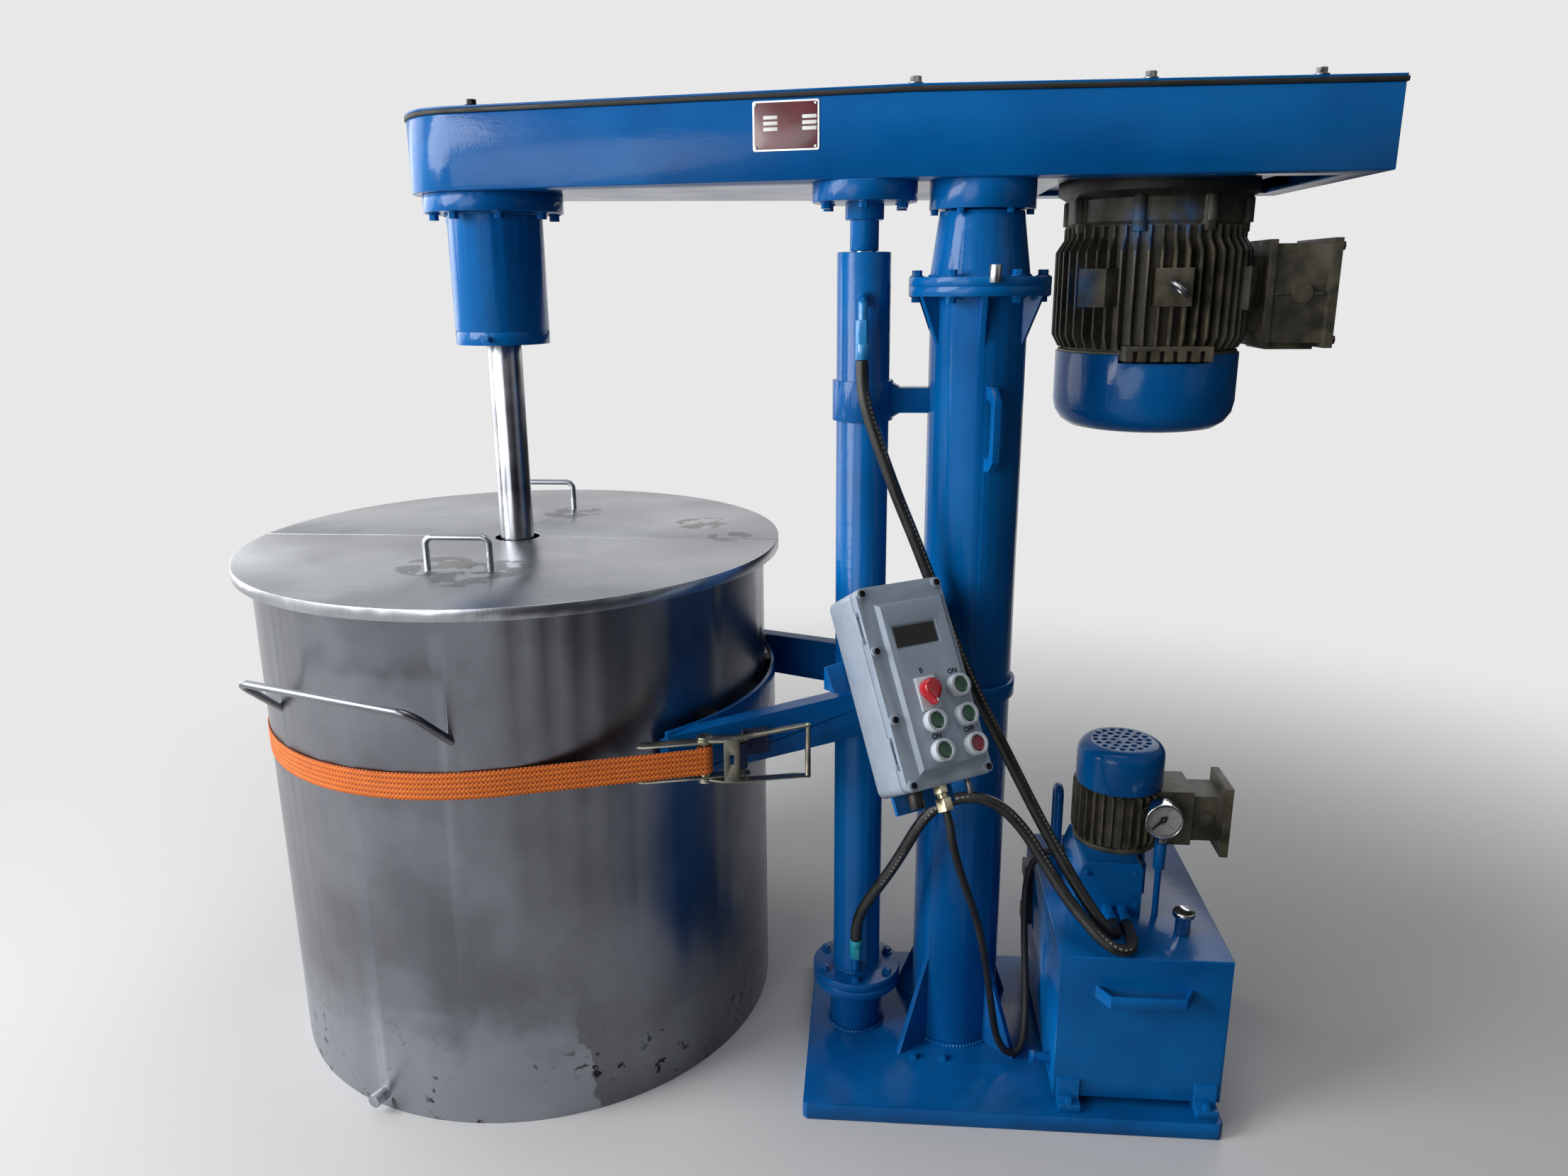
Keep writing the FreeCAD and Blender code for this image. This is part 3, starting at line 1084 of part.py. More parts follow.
# ratchet frame: two side plates, the winding rod with its heads and the anchor rod
def make_ratchet():
    outer = "ratchet_half + ratchet_plate"
    head_face = f"{outer} + ratchet_plate + seat * 2 + (mandrel_radius + 4) * tan(handle_flare)"
    parts = []
    for low in ("ratchet_half", f"-({outer})"):
        outline = [("-ratchet_front", "-ratchet_side * 0.6"), ("-ratchet_front + 10", "-ratchet_side"),
                   ("ratchet_back - 8", "-ratchet_side"), ("ratchet_back", "0 - 4"), ("ratchet_back", "4"),
                   ("ratchet_back - 8", "ratchet_side"), ("-ratchet_front + 10", "ratchet_side"),
                   ("-ratchet_front", "ratchet_side * 0.6")]
        parts.append(slab("side_plate", outline, low, "ratchet_plate"))
    parts.append(cylinder("mandrel_radius", f"({head_face}) * 2", 0, 0, f"-({head_face})"))
    parts.append(cylinder("anchor_radius", f"({outer}) * 2 + 8", "anchor_along", 0, f"-({outer}) - 4"))
    for low in (head_face, f"-({head_face}) - 4"):
        parts.append(cylinder("mandrel_radius + 4", 4, 0, 0, low))
    piece("ratchet_frame", posed(fuse(*parts), ratchet_place()))


# ratchet handle: hubs on the winding rod, flaring arms, a slotted cross plate and an end bar
def make_ratchet_handle():
    low = "ratchet_half + ratchet_plate + seat"
    outline = [(2, -10), (30, -22), (64, -22), ("handle_long - 20", -9), ("handle_long + 6", -5),
               ("handle_long + 6", 6), ("handle_long - 20", 8), (60, -5), (20, 9), (2, 10)]
    parts = []
    for side in (1, -1):
        arm = posed(slab("handle_arm", outline, low, "ratchet_plate"),
                    Placement(ORIGIN, Rotation(Vector(0, 1, 0), -size("handle_flare"))))
        parts.append(arm if side > 0 else mirrored(arm))
        parts.append(cylinder(14, "ratchet_plate", 0, 0, low if side > 0 else f"-({low}) - ratchet_plate"))
    cross = cut(box(28, 3, 78, 31, -22, -39), box(8, 9, 18, 41, -25, -6))
    bar = cylinder("handle_bar", 102, "handle_long", 0, -51)
    solid = cut(fuse(cross, bar, *parts), cylinder("mandrel_radius + run_gap", 120, 0, 0, -60))
    piece("ratchet_handle", posed(solid, ratchet_place()))


# the same part turned over through the level plane
def mirrored(obj):
    other = doc.addObject("Part::Mirroring", "mirrored")
    other.Source = obj
    other.Normal = UP
    return other


# oil reservoir on two front lugs and two rear feet, with a lid and a bar handle
def make_reservoir():
    wide, deep = "pack_right - pack_left", "pack_half_deep * 2"
    top = "pack_top - pack_lid_thick"
    outside = box(wide, deep, f"{top} - pack_low", "pack_left", "-pack_half_deep", "pack_low")
    inside = box(f"{wide} - pack_wall * 2", f"{deep} - pack_wall * 2", f"{top} - pack_low",
                 "pack_left + pack_wall", "-pack_half_deep + pack_wall", "pack_low + pack_wall")
    feet = []
    for x in ("pack_left + 8", "pack_right - 8 - lug_wide"):
        feet.append(box("lug_wide", "lug_out * 2", "pack_low - base_thick", x, "-pack_half_deep - lug_out",
                        "base_thick"))
        feet.append(box("lug_wide", "lug_thick", "lug_wide", x, "-pack_half_deep - lug_thick",
                        "pack_low - 2"))
        feet.append(box("lug_wide", "lug_wide", "pack_low - base_thick", x, "pack_half_deep - lug_wide",
                        "base_thick"))
    shell = fuse(cut(outside, inside), *feet)
    lid = box(wide, deep, "pack_lid_thick", "pack_left", "-pack_half_deep", top)
    piece("reservoir", group(fuse(shell, pack_handle()), lid))


def pack_handle():
    out, thick = "pack_half_deep + pack_handle_out", "pack_handle_thick"
    left, right, slant = "pack_handle_left", "pack_handle_right", "pack_handle_slant"
    face = "-pack_half_deep"
    outline = [(left, face), (f"{left} + {slant}", f"-({out})"), (f"{right} - {slant}", f"-({out})"),
               (right, face), (f"{right} - {thick}", face), (f"{right} - {slant} - 4", f"-({out}) + {thick}"),
               (f"{left} + {slant} + 4", f"-({out}) + {thick}"), (f"{left} + {thick}", face)]
    return slab("pack_handle", outline, "pack_handle_low", "pack_handle_high")


# valve block with sloping shoulders, its side flange and the bell under the pump motor
def make_valve_block():
    low, top = "pack_top", "pack_top + block_high"
    outline = [("block_left", low), ("block_left", f"{top} - 37"), ("block_left + 12", f"{top} - 5"),
               ("block_left + 26", top), ("block_right - 8", top), ("block_right", f"{top} - 12"),
               ("block_right", low)]
    body = plate("block", outline, "block_front + block_back")
    put(body, 0, "(block_back - block_front) / 2", 0)
    bell = cylinder("pump_bell_radius", "block_high", "pump_x", "pump_y", low)
    flange = box(14, 60, 65, "block_right - 1", -60, f"{low} + 30")
    piece("valve_block", fuse(body, bell, flange))


def make_pump_motor():
    low = "pack_top + block_high"
    flange = f"{low} + pump_flange_thick"
    bore = "pump_shaft_radius + run_gap"
    spigot = "pump_cowl_radius - cowl_wall - run_gap"
    top = "pump_fin_top + pump_spigot_high"
    core = turned("pump_core", [
        (0, low), ("pump_flange_radius", low), ("pump_flange_radius", flange), ("pump_core_radius", flange),
        ("pump_core_radius", "pump_fin_top"), (spigot, "pump_fin_top"), (spigot, top), (bore, top),
        (bore, "pump_fin_top - 36"), (0, "pump_fin_top - 36")])
    add_fins(core, [("pump_core_radius - 3", flange), ("pump_fin_radius - 8", flange),
                    ("pump_fin_radius", f"{flange} + 14"), ("pump_fin_radius", "pump_fin_top - 3"),
                    ("pump_core_radius - 3", "pump_fin_top - 3")], "pump_fin_count", "pump_fin_thick")
    neck = box(62, 96, 110, "pump_core_radius - 2", -48, f"{low} + 8")
    case = box(58, 78, 92, "pump_core_radius + 59", -39, f"{low} + 14")
    lid = box(15, 104, 142, "pump_core_radius + 116", -52, f"{low} - 14")
    boss = cylinder(14, 6, "pump_core_radius + 88", -38, f"{low} + 58", "-y")
    piece("pump_motor", put(group(fuse(core, neck, case, lid, boss)), "pump_x", "pump_y", 0))
    make_pump_cowl(top)


def make_pump_cowl(top):
    body = turned("small_cowl", cowl_section("pump_cowl_radius", "pump_cowl_round", "pump_cowl_top",
                                             "pump_fin_top", -1))
    cowl_holes(body, "pump_cowl_top + 1", 5, "pump_cowl_radius - pump_cowl_round - 8", 3, False)
    piece("pump_cowl", put(body, "pump_x", "pump_y", 0))
    low = f"{top} + 4"
    tip = "pump_cowl_top - cowl_wall - 10"
    fan = turned("small_fan", [
        (0, "pump_fin_top - 35"), ("pump_shaft_radius", "pump_fin_top - 35"), ("pump_shaft_radius", low),
        ("pump_fan_radius", low), ("pump_fan_radius", f"{low} + 3"), ("pump_shaft_radius + 7", f"{low} + 3"),
        ("pump_shaft_radius + 7", tip), (0, tip)])
    add_fins(fan, [("pump_shaft_radius + 5", f"{low} + 2"), ("pump_fan_radius", f"{low} + 2"),
                   ("pump_fan_radius - 10", f"{tip} - 4"), ("pump_shaft_radius + 5", f"{tip} - 4")], 7, 3)
    piece("pump_fan", put(fan, "pump_x", "pump_y", 0))


# pressure gauge facing the operator: case with a dial floor, needle and glass
def make_gauge():
    x, z = "gauge_x", "gauge_z"
    front = "-gauge_y - gauge_deep"
    inside = "gauge_radius - gauge_rim"
    shell = cut(cylinder("gauge_radius", "gauge_deep", x, "-gauge_y", z, "-y"),
                cylinder(inside, "gauge_dial", x, f"{front} + gauge_dial", z, "-y"))
    pin = cylinder("gauge_pin", "gauge_dial - gauge_glass - 4", x, f"{front} + gauge_dial + 1", z, "-y")
    piece("gauge_case", fuse(shell, pin))
    piece("gauge_glass", cylinder(f"{inside} - run_gap", "gauge_glass", x, f"{front} + gauge_glass", z, "-y"))
    hub = cylinder(5, 3, 0, f"{front} + gauge_dial - 3", 0, "-y")
    pointer = plate("pointer", [(-2.5, -8), (2.5, -8), (1, "gauge_needle"), (-1, "gauge_needle")], 2)
    put(pointer, 0, f"{front} + gauge_dial - 4.5", 0)
    solid = cut(fuse(hub, pointer), cylinder("gauge_pin + run_gap", 20, 0, f"{front} + gauge_dial + 1", 0, "-y"))
    lower_left = Rotation(Vector(0, 1, 0), 225)
    place = posed(solid, Placement(ORIGIN, lower_left))
    piece("gauge_needle", put(group(place), x, 0, z))


# pipes and small fittings of the power pack
def make_pack_fittings():
    stem_y = "-gauge_y - gauge_deep / 2"
    foot = "pack_top"
    stem = cylinder("stem_radius", f"gauge_z - gauge_radius - {foot}", "gauge_x", stem_y, foot)
    sleeve = cylinder("stem_sleeve_radius", 52, "gauge_x", stem_y, "gauge_z - gauge_radius - 66")
    nut = hexagon("stem_sleeve_radius", 12, "gauge_x", stem_y, "gauge_z - gauge_radius - 12")
    riser = bent_rod("riser", "riser_span", "riser_rise", "riser_bend", "riser_rod")
    riser_at = posed(riser, Placement(Vector(size("riser_x"), size("block_back") + 26, size("pack_top")),
                                      Rotation(UP, 90)))
    cap = cylinder("riser_rod + 4", 44, "riser_x", "block_back + 26", foot)
    neck = cylinder("breather_neck", 34, "breather_x", "-breather_y", foot)
    gland = hexagon("cable_radius + 5", 20, "block_left - 20", 42, 405, "x")
    drain = cylinder("drain_radius", "drain_long", "pack_left - drain_long", "-drain_y", "drain_z", "x")
    plug = hexagon("drain_radius + 3", 8, "pack_left - drain_long - 8", "-drain_y", "drain_z", "x")
    piece("pack_fittings", group(fuse(stem, sleeve, nut), fuse(riser_at, cap), neck, fuse(drain, plug),
                                 level_gauge(), gland))


def level_gauge():
    left = "pack_left - level_out"
    parts = [box("level_out - 4", 34, "level_high - 20", f"{left} + 4", "level_y - 17", "level_low + 10")]
    for low in ("level_low", "level_low + level_high - 32"):
        parts.append(box("level_out", 42, 32, left, "level_y - 21", low))
    return fuse(*parts)


def make_breather():
    bore = "breather_neck + run_gap"
    low, top = "pack_top + seat", "pack_top + breather_high"
    piece("breather_cap", turned("breather", [
        (bore, low), ("breather_radius", low), ("breather_radius", f"{top} - 14"),
        ("breather_cap_radius", f"{top} - 10"), ("breather_cap_radius", top), (0, top),
        (0, "pack_top + 34 + seat"), (bore, "pack_top + 34 + seat")], "breather_x", "-breather_y"))


# control box, built round its own middle with its front towards -Y and then posed
def control_place():
    return Placement(Vector(-size("control_x"), -size("control_y"), size("control_z")),
                     Rotation(size("control_turn"), 0, -size("control_tilt")))


def rounded_plate(name, inset, thick, middle, corner):
    half_wide, half_high = f"control_wide / 2 - {inset}", f"control_high / 2 - {inset}"
    outline = [(f"-({half_wide})", f"-({half_high})"), (half_wide, f"-({half_high})"),
               (half_wide, half_high), (f"-({half_wide})", half_high)]
    body = plate(name, outline, thick)
    dress(body, "Fillet", body.Tip, level_edge, corner)
    return put(body, 0, middle, 0)


def level_edge(edge):
    ends = [v.Point for v in edge.Vertexes]
    return len(ends) == 2 and abs(ends[0].x - ends[1].x) < 0.01 and abs(ends[0].z - ends[1].z) < 0.01


def make_control_box():
    half = "control_deep / 2"
    joint = f"-{half} + cover_deep"
    body_deep = "control_deep - cover_deep - control_joint"
    case = rounded_plate("case", "0", body_deep, f"{half} - ({body_deep}) / 2", "control_round")
    lip = rounded_plate("lip", "joint_inset", "control_joint * 2", f"{joint} + control_joint", "control_round")
    inside = box("control_wide - control_wall * 2", "control_deep - cover_deep - control_wall",
                 "control_high - control_wall * 2", "-control_wide / 2 + control_wall", joint,
                 "-control_high / 2 + control_wall")
    piece("control_box", posed(cut(fuse(case, lip), inside), control_place()))
    make_control_cover(half, joint)
    make_knob(half)
    for label, (x, z) in BUTTONS.items():
        button = cylinder("button_radius", "guard_high - 2 + 1", x, f"-{half} + 1", z, "-y")
        piece(label, posed(button, control_place()))


def make_control_cover(half, joint):
    face = f"-{half} + panel_high"
    plate_deep = "cover_deep - panel_high"
    lid = rounded_plate("lid_plate", "0", plate_deep, f"{joint} - ({plate_deep}) / 2", "control_round")
    panel = plate("panel", [(-57, -148), (79, -148), (79, 140), (-57, 140)], "panel_high * 2")
    dress(panel, "Chamfer", panel.Tip, front_edge, "panel_high - 2")
    put(panel, 0, f"-{half} + panel_high", 0)
    inside = box("control_wide - control_wall * 2", "cover_deep - panel_high - 5",
                 "control_high - control_wall * 2", "-control_wide / 2 + control_wall", f"{face} + 5",
                 "-control_high / 2 + control_wall")
    parts, pockets = [cut(lid, inside), panel], []
    for x, z in BUTTONS.values():
        parts.append(cylinder("guard_radius", "guard_high + 1", x, f"-{half} + 1", z, "-y"))
        pockets.append(cylinder("button_radius + run_gap", "guard_high + 20",
                                x, f"-{half} + 1 + button_travel + seat", z, "-y"))
    parts.append(box(38, "knob_base + 1", 56, "-knob_x - 19", f"-{half} - knob_base", "-knob_z - 34"))
    pockets.append(cylinder("knob_stem + run_gap", 20, "-knob_x", f"-{half} + 4", "-knob_z", "-y"))
    pockets.append(box(90, 20, 42, -40, f"-{half} - 17", 58))
    for x, z in COVER_SCREWS:
        parts.append(cylinder(9, "panel_high - 3", x, f"{face} + 1", z, "-y"))
        parts.append(cylinder(5, "panel_high - 1", x, f"{face} + 1", z, "-y"))
    for z in (108, -105):
        parts.append(hinge_clip(z, joint))
    piece("control_cover", posed(cut(fuse(*parts), *pockets), control_place()))


def front_edge(edge):
    return all(v.Point.y < -size("panel_high") + 0.01 for v in edge.Vertexes)


# a wire loop on the side of the cover, lying across the joint
def hinge_clip(z, joint):
    left = "-control_wide / 2"
    ears = [box(8, 8, 8, f"{left} - 6", f"{joint} - 12", z + dz) for dz in (-26, 18)]
    pin = cylinder(2.5, 52, f"{left} - 4", f"{joint} - 8", z - 26)
    return fuse(pin, *ears)


def make_knob(half):
    back = f"-{half} - knob_base - seat"
    grip = cylinder("knob_radius", "knob_high", "-knob_x", back, "-knob_z", "-y")
    pointer = plate("knob_pointer", [(-15, -7), (-4, -28), (4, -28), (15, -7)], "knob_high")
    put(pointer, "-knob_x", f"{back} - knob_high / 2", "-knob_z")
    stem = cylinder("knob_stem", "knob_base + 3", "-knob_x", f"{back} + knob_base + 2", "-knob_z", "-y")
    piece("selector_knob", posed(fuse(grip, pointer, stem), control_place()))


# blue bracket from the column to the back of the box, with the glands under the box
def make_control_bracket():
    back = "control_deep / 2"
    low = "-control_high / 2"
    sheet_plate = box(120, "bracket_thick", "control_high - 20", -60, back, f"{low} - 33")
    arm = box(340, "bracket_arm_wide", "bracket_arm_high", 0, "-bracket_arm_wide / 2", "bracket_arm_level")
    front = box(900, 900, 900, -450, f"{back} + bracket_thick / 2 - 900", -450)
    trimmed = cut(turned_to(arm, -size("bracket_angle")),
                  cylinder("column_radius + run_gap", "control_z * 2"), posed(front, control_place()))
    glands = [hexagon("gland_radius - 2", "gland_drop * 0.3", "gland_x", 0, low, "-z"),
              cylinder("gland_radius - 5", "gland_drop * 0.3", "gland_x", 0, f"{low} - gland_drop * 0.25", "-z"),
              hexagon("gland_radius", "gland_drop * 0.5", "gland_x", 0, f"{low} - gland_drop * 0.5", "-z")]
    black = cylinder(13, 28, -50, 0, low, "-z")
    pin = cylinder(5, 26, 60, 0, low, "-z")
    held = posed(group(fuse(*glands), black, pin), control_place())
    piece("control_bracket", group(fuse(trimmed, posed(sheet_plate, control_place())), held))


# a cord as straight runs joined by tangent arcs; its tightest arc and its volume are printed
def cord(label, points, radius):
    places = [Vector(*point) for point in points]
    edges, arcs, start = [], [], places[0]
    for before, corner, after in zip(places, places[1:], places[2:]):
        back, ahead = (before - corner).normalize(), (after - corner).normalize()
        half = (math.pi - back.getAngle(ahead)) / 2
        trim = 0.45 * min((before - corner).Length, (after - corner).Length)
        reach = trim / math.tan(half)
        low, high = corner + back * trim, corner + ahead * trim
        middle = corner + (back + ahead).normalize() * (reach / math.cos(half) - reach)
        edges.append(Part.LineSegment(start, low).toShape())
        edges.append(Part.Arc(low, middle, high).toShape())
        arcs.append(round(reach))
        start = high
    edges.append(Part.LineSegment(start, places[-1]).toShape())
    wire = Part.Wire(edges)
    circle = Part.Circle(places[0], places[1] - places[0], radius)
    body = doc.addObject("Part::Feature", label)
    body.Shape = wire.makePipeShell([Part.Wire([circle.toShape()])], True, True)
    share = body.Shape.Volume / (math.pi * radius ** 2 * wire.Length)
    print(label, "length", round(wire.Length), "arcs", arcs, "volume share", round(share, 4))
    piece(label, body)


# hydraulic hoses from the lift cylinder to the valve block and the cable of the control box
def make_cords():
    x = -size("cylinder_offset")
    y = -(size("barrel_radius") - size("seat") + size("port_long") + size("elbow_bend"))
    turn = size("elbow_bend") * 2
    top = size("port_top") - turn - size("top_nipple_long")
    low = size("port_low") + turn + size("low_nipple_long")
    port_y = -size("block_front") - size("seat") - size("block_port_long")
    port_z = size("block_port_z")
    left, right = size("block_port_left"), size("block_port_right")
    cord("top_hose", [
        (x, y, top), (x, y, top - 20), (-199, -79, 1340), (-193, -84, 1305), (-170, -90, 1240),
        (-140, -94, 1160), (-108, -96, 1085), (-78, -96, 1010), (-48, -102, 935), (-14, -114, 852),
        (26, -120, 770), (68, -124, 690), (108, -132, 612), (150, -146, 535), (194, -166, 462),
        (222, -182, 420), (240, -192, 397), (254, -197, 380), (266, -194, 368), (273, -184, 362),
        (left, -170, port_z), (left, port_y, port_z)], size("hose_radius"))
    cord("low_hose", [
        (x, y, low), (x, y, low + 22), (-196, -80, 312), (-184, -87, 345), (-162, -95, 385),
        (-136, -103, 430), (-112, -110, 478), (-90, -116, 526), (-64, -121, 568), (-26, -127, 596),
        (18, -132, 604), (62, -138, 590), (102, -147, 552), (138, -161, 498), (178, -184, 439),
        (206, -202, 408), (226, -217, 389), (246, -229, 373), (264, -235, 364), (280, -233, 360),
        (293, -222, port_z), (300, -204, port_z), (right, -184, port_z), (right, port_y, port_z)],
        size("hose_radius"))
    place = control_place()
    gland = size("control_high") / 2 + size("gland_drop")
    out = [tuple(place.multVec(Vector(size("gland_x"), 0, -gland - run))) for run in (0, 26)]
    cord("control_cable", out + [
        (-39, -322, 614), (-31, -307, 579), (-20, -285, 535), (-6, -258, 486), (10, -230, 432),
        (25, -204, 376), (38, -180, 314), (49, -160, 251), (59, -144, 186), (69, -132, 124),
        (78, -126, 84), (92, -125, 60), (106, -123, 51), (120, -116, 52), (130, -103, 66),
        (136, -84, 92), (139, -60, 126), (139, -36, 170), (138, -10, 222), (138, 14, 274),
        (140, 32, 322), (146, 42, 360), (158, 42, 388), (174, 42, 402),
        (size("block_left") - 30, 42, 405), (size("block_left") - 20, 42, 405)], size("cable_radius"))


def main():
    fill_sheet()
    make_base()
    make_column()
    make_column_head()
    make_ram()
    make_cylinder()
    make_cylinder_clamp()
    make_hose_fittings()
    make_frame_bolts()
    make_beam()
    make_spindle_housing()
    make_spindle()
    make_pulleys()
    make_belts()
    make_motor()
    make_motor_plate()
    make_motor_shaft()
    make_motor_cowl()
    make_terminal_box()
    make_head_bolts()
    make_tank()
    make_lid("lid_front", -1)
    make_lid("lid_rear", 1)
    make_fork()
    make_straps()
    make_ratchet()
    make_ratchet_handle()
    make_reservoir()
    make_valve_block()
    make_pump_motor()
    make_gauge()
    make_pack_fittings()
    make_breather()
    make_control_box()
    make_control_bracket()
    make_cords()
    doc.recompute()
    faults = [f"{obj.Name} {obj.Label}" for obj in doc.Objects if {"Invalid", "Error"} & set(obj.State)]
    for obj in PIECES:
        shape = obj.Shape
        if shape.isNull() or not shape.isValid() or not shape.Solids:
            faults.append(f"bad shape {obj.Label}")
    if faults:
        raise RuntimeError("; ".join(faults))
    os.makedirs("parts", exist_ok=True)
    for obj in PIECES:
        obj.Shape.exportStep(f"parts/{obj.Label}.step")
    print(len(PIECES), "pieces written")


main()
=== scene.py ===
import json
import math
import bmesh
import bpy
import numpy as np
from mathutils import Matrix

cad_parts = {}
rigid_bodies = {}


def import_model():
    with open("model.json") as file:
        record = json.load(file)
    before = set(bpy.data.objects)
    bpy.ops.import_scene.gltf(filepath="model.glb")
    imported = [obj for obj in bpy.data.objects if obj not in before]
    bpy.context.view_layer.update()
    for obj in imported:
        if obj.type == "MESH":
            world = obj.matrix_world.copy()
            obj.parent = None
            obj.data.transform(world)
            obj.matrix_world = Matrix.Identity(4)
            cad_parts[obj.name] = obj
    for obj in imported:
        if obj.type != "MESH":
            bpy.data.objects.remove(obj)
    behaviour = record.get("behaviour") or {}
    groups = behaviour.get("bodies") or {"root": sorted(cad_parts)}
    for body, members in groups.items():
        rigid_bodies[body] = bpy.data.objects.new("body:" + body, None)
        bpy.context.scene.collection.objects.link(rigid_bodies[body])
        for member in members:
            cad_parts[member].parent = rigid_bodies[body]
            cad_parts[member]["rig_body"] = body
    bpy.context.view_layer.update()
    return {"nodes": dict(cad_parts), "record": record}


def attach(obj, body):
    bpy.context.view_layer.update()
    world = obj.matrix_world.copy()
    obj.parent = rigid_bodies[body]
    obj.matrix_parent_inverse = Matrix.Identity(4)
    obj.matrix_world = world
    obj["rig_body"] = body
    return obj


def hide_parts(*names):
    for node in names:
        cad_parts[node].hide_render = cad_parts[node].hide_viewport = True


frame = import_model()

nodes = frame["nodes"]
mm = 0.001
slotOf = {part["node"]: part["material_slot"] for part in frame["record"]["subparts"]}


# Colours and shader nodes

# sRGB hex code to linear RGBA
def ink(code):
    parts = [int(code[i:i + 2], 16) / 255 for i in (1, 3, 5)]
    return [p / 12.92 if p <= 0.04045 else ((p + 0.055) / 1.055) ** 2.4 for p in parts] + [1.0]


# one node with its settings and links, given back as one of its outputs
def add(tree, kind, inputs=None, out=0, **settings):
    node = tree.nodes.new("ShaderNode" + kind)
    for name, value in settings.items():
        setattr(node, name, value)
    for key, value in (inputs or {}).items():
        if isinstance(value, bpy.types.NodeSocket):
            tree.links.new(value, node.inputs[key])
        else:
            node.inputs[key].default_value = value
    return node.outputs[out]


# settings that many nodes share
soft = {"interpolation_type": "SMOOTHSTEP"}
rgba = {"data_type": "RGBA"}

shaderInputs = {"coat": "Coat Weight", "coatRough": "Coat Roughness", "ior": "IOR",
                "level": "Specular IOR Level", "sheen": "Sheen Weight", "metallic": "Metallic",
                "roughness": "Roughness", "transmission": "Transmission Weight"}


# a material, its tree, its shader and the Object coordinates in metres
def newFinish(name, **fixed):
    material = bpy.data.materials.new(name)
    material.use_nodes = True
    tree = material.node_tree
    shader = tree.nodes["Principled BSDF"]
    for key, value in fixed.items():
        shader.inputs[shaderInputs[key]].default_value = value
    return material, tree, shader, add(tree, "TexCoord", out="Object")


# soft patches of a real size in mm, cut from noise between two levels
def patches(tree, where, sizeMm, low, high, toLow=0.0, toHigh=1.0, detail=3.0):
    cloud = add(tree, "TexNoise", {"Vector": where, "Scale": 1000 / sizeMm, "Detail": detail}, "Fac")
    return add(tree, "MapRange", {"Value": cloud, 1: low, 2: high, 3: toLow, 4: toHigh}, **soft)


# one close to a spot and nothing beyond its reach, both in metres
def near(tree, where, spot, reach):
    far = add(tree, "VectorMath", {0: where, 1: spot}, "Value", operation="DISTANCE")
    return add(tree, "MapRange", {"Value": far, 1: reach, 2: reach * 0.25}, **soft)


# gives a finish its colour, roughness and bumps: (height, depth in m, strength), the coarsest first
def dress(tree, shader, colour, roughness, *layers):
    tree.links.new(colour, shader.inputs["Base Color"])
    tree.links.new(roughness, shader.inputs["Roughness"])
    normal = None
    for height, depth, strength in layers:
        inputs = {"Height": height, "Distance": depth, "Strength": strength}
        if normal:
            inputs["Normal"] = normal
        normal = add(tree, "Bump", inputs)
    tree.links.new(normal, shader.inputs["Normal"])


# Finishes

# machinery enamel, brushed on by hand: a glossy skin with long level brush waves, soiled near the floor
enamel = {"deep": "#045193", "fresh": "#0664aa", "soiled": "#0a3360", "soiledBelow": 0.35,
          "waveMm": 120, "brushMm": 34, "peelMm": 4}


def blueEnamel():
    material, tree, shader, where = newFinish("alkyd_enamel_blue", level=0.2, coat=0.06,
                                              coatRough=0.08, ior=1.45)
    paint = add(tree, "Mix", {0: patches(tree, where, 330, 0.35, 0.65), 6: ink(enamel["deep"]),
                              7: ink(enamel["fresh"])}, 2, **rgba)
    height = add(tree, "SeparateXYZ", {0: where}, 2)
    foot = add(tree, "MapRange", {"Value": height, 1: enamel["soiledBelow"], 2: 0.0}, **soft)
    grime = patches(tree, where, 90, 0.35, 0.75, 0.0, 0.45)
    grime = add(tree, "Math", {0: foot, 1: grime}, operation="MULTIPLY")
    paint = add(tree, "Mix", {0: grime, 6: paint, 7: ink(enamel["soiled"])}, 2, **rgba)
    level = add(tree, "Mapping", {"Vector": where, "Scale": (1, 1, 3)})
    dress(tree, shader, paint, patches(tree, where, 140, 0.3, 0.75, 0.15, 0.26, 4),
          (patches(tree, level, enamel["waveMm"], 0.2, 0.8), 0.006, 0.1),
          (patches(tree, level, enamel["brushMm"], 0.2, 0.8), 0.0012, 0.08),
          (patches(tree, where, enamel["peelMm"], 0.2, 0.8, detail=1), 0.0003, 0.2))
    return material


# grey-olive primer on sand-cast iron: dull and gritty, with blue overspray where the frame was painted, and
# painted shade: the paint turns near black at the top of the motor, where the beam above shades it
castPaint = {"dark": "#312f26", "light": "#5b5645", "paintedShade": "#16150f", "overspray": "#1d6fb4",
             "gritMm": 1.6, "paintedShadeFrom": 1.61, "paintedShadeFull": 1.67,
             "spots": [((0.155, 0.07, 1.50), 0.07), ((0.26, 0.01, 1.60), 0.06), ((0.35, 0.0, 1.62), 0.05)]}


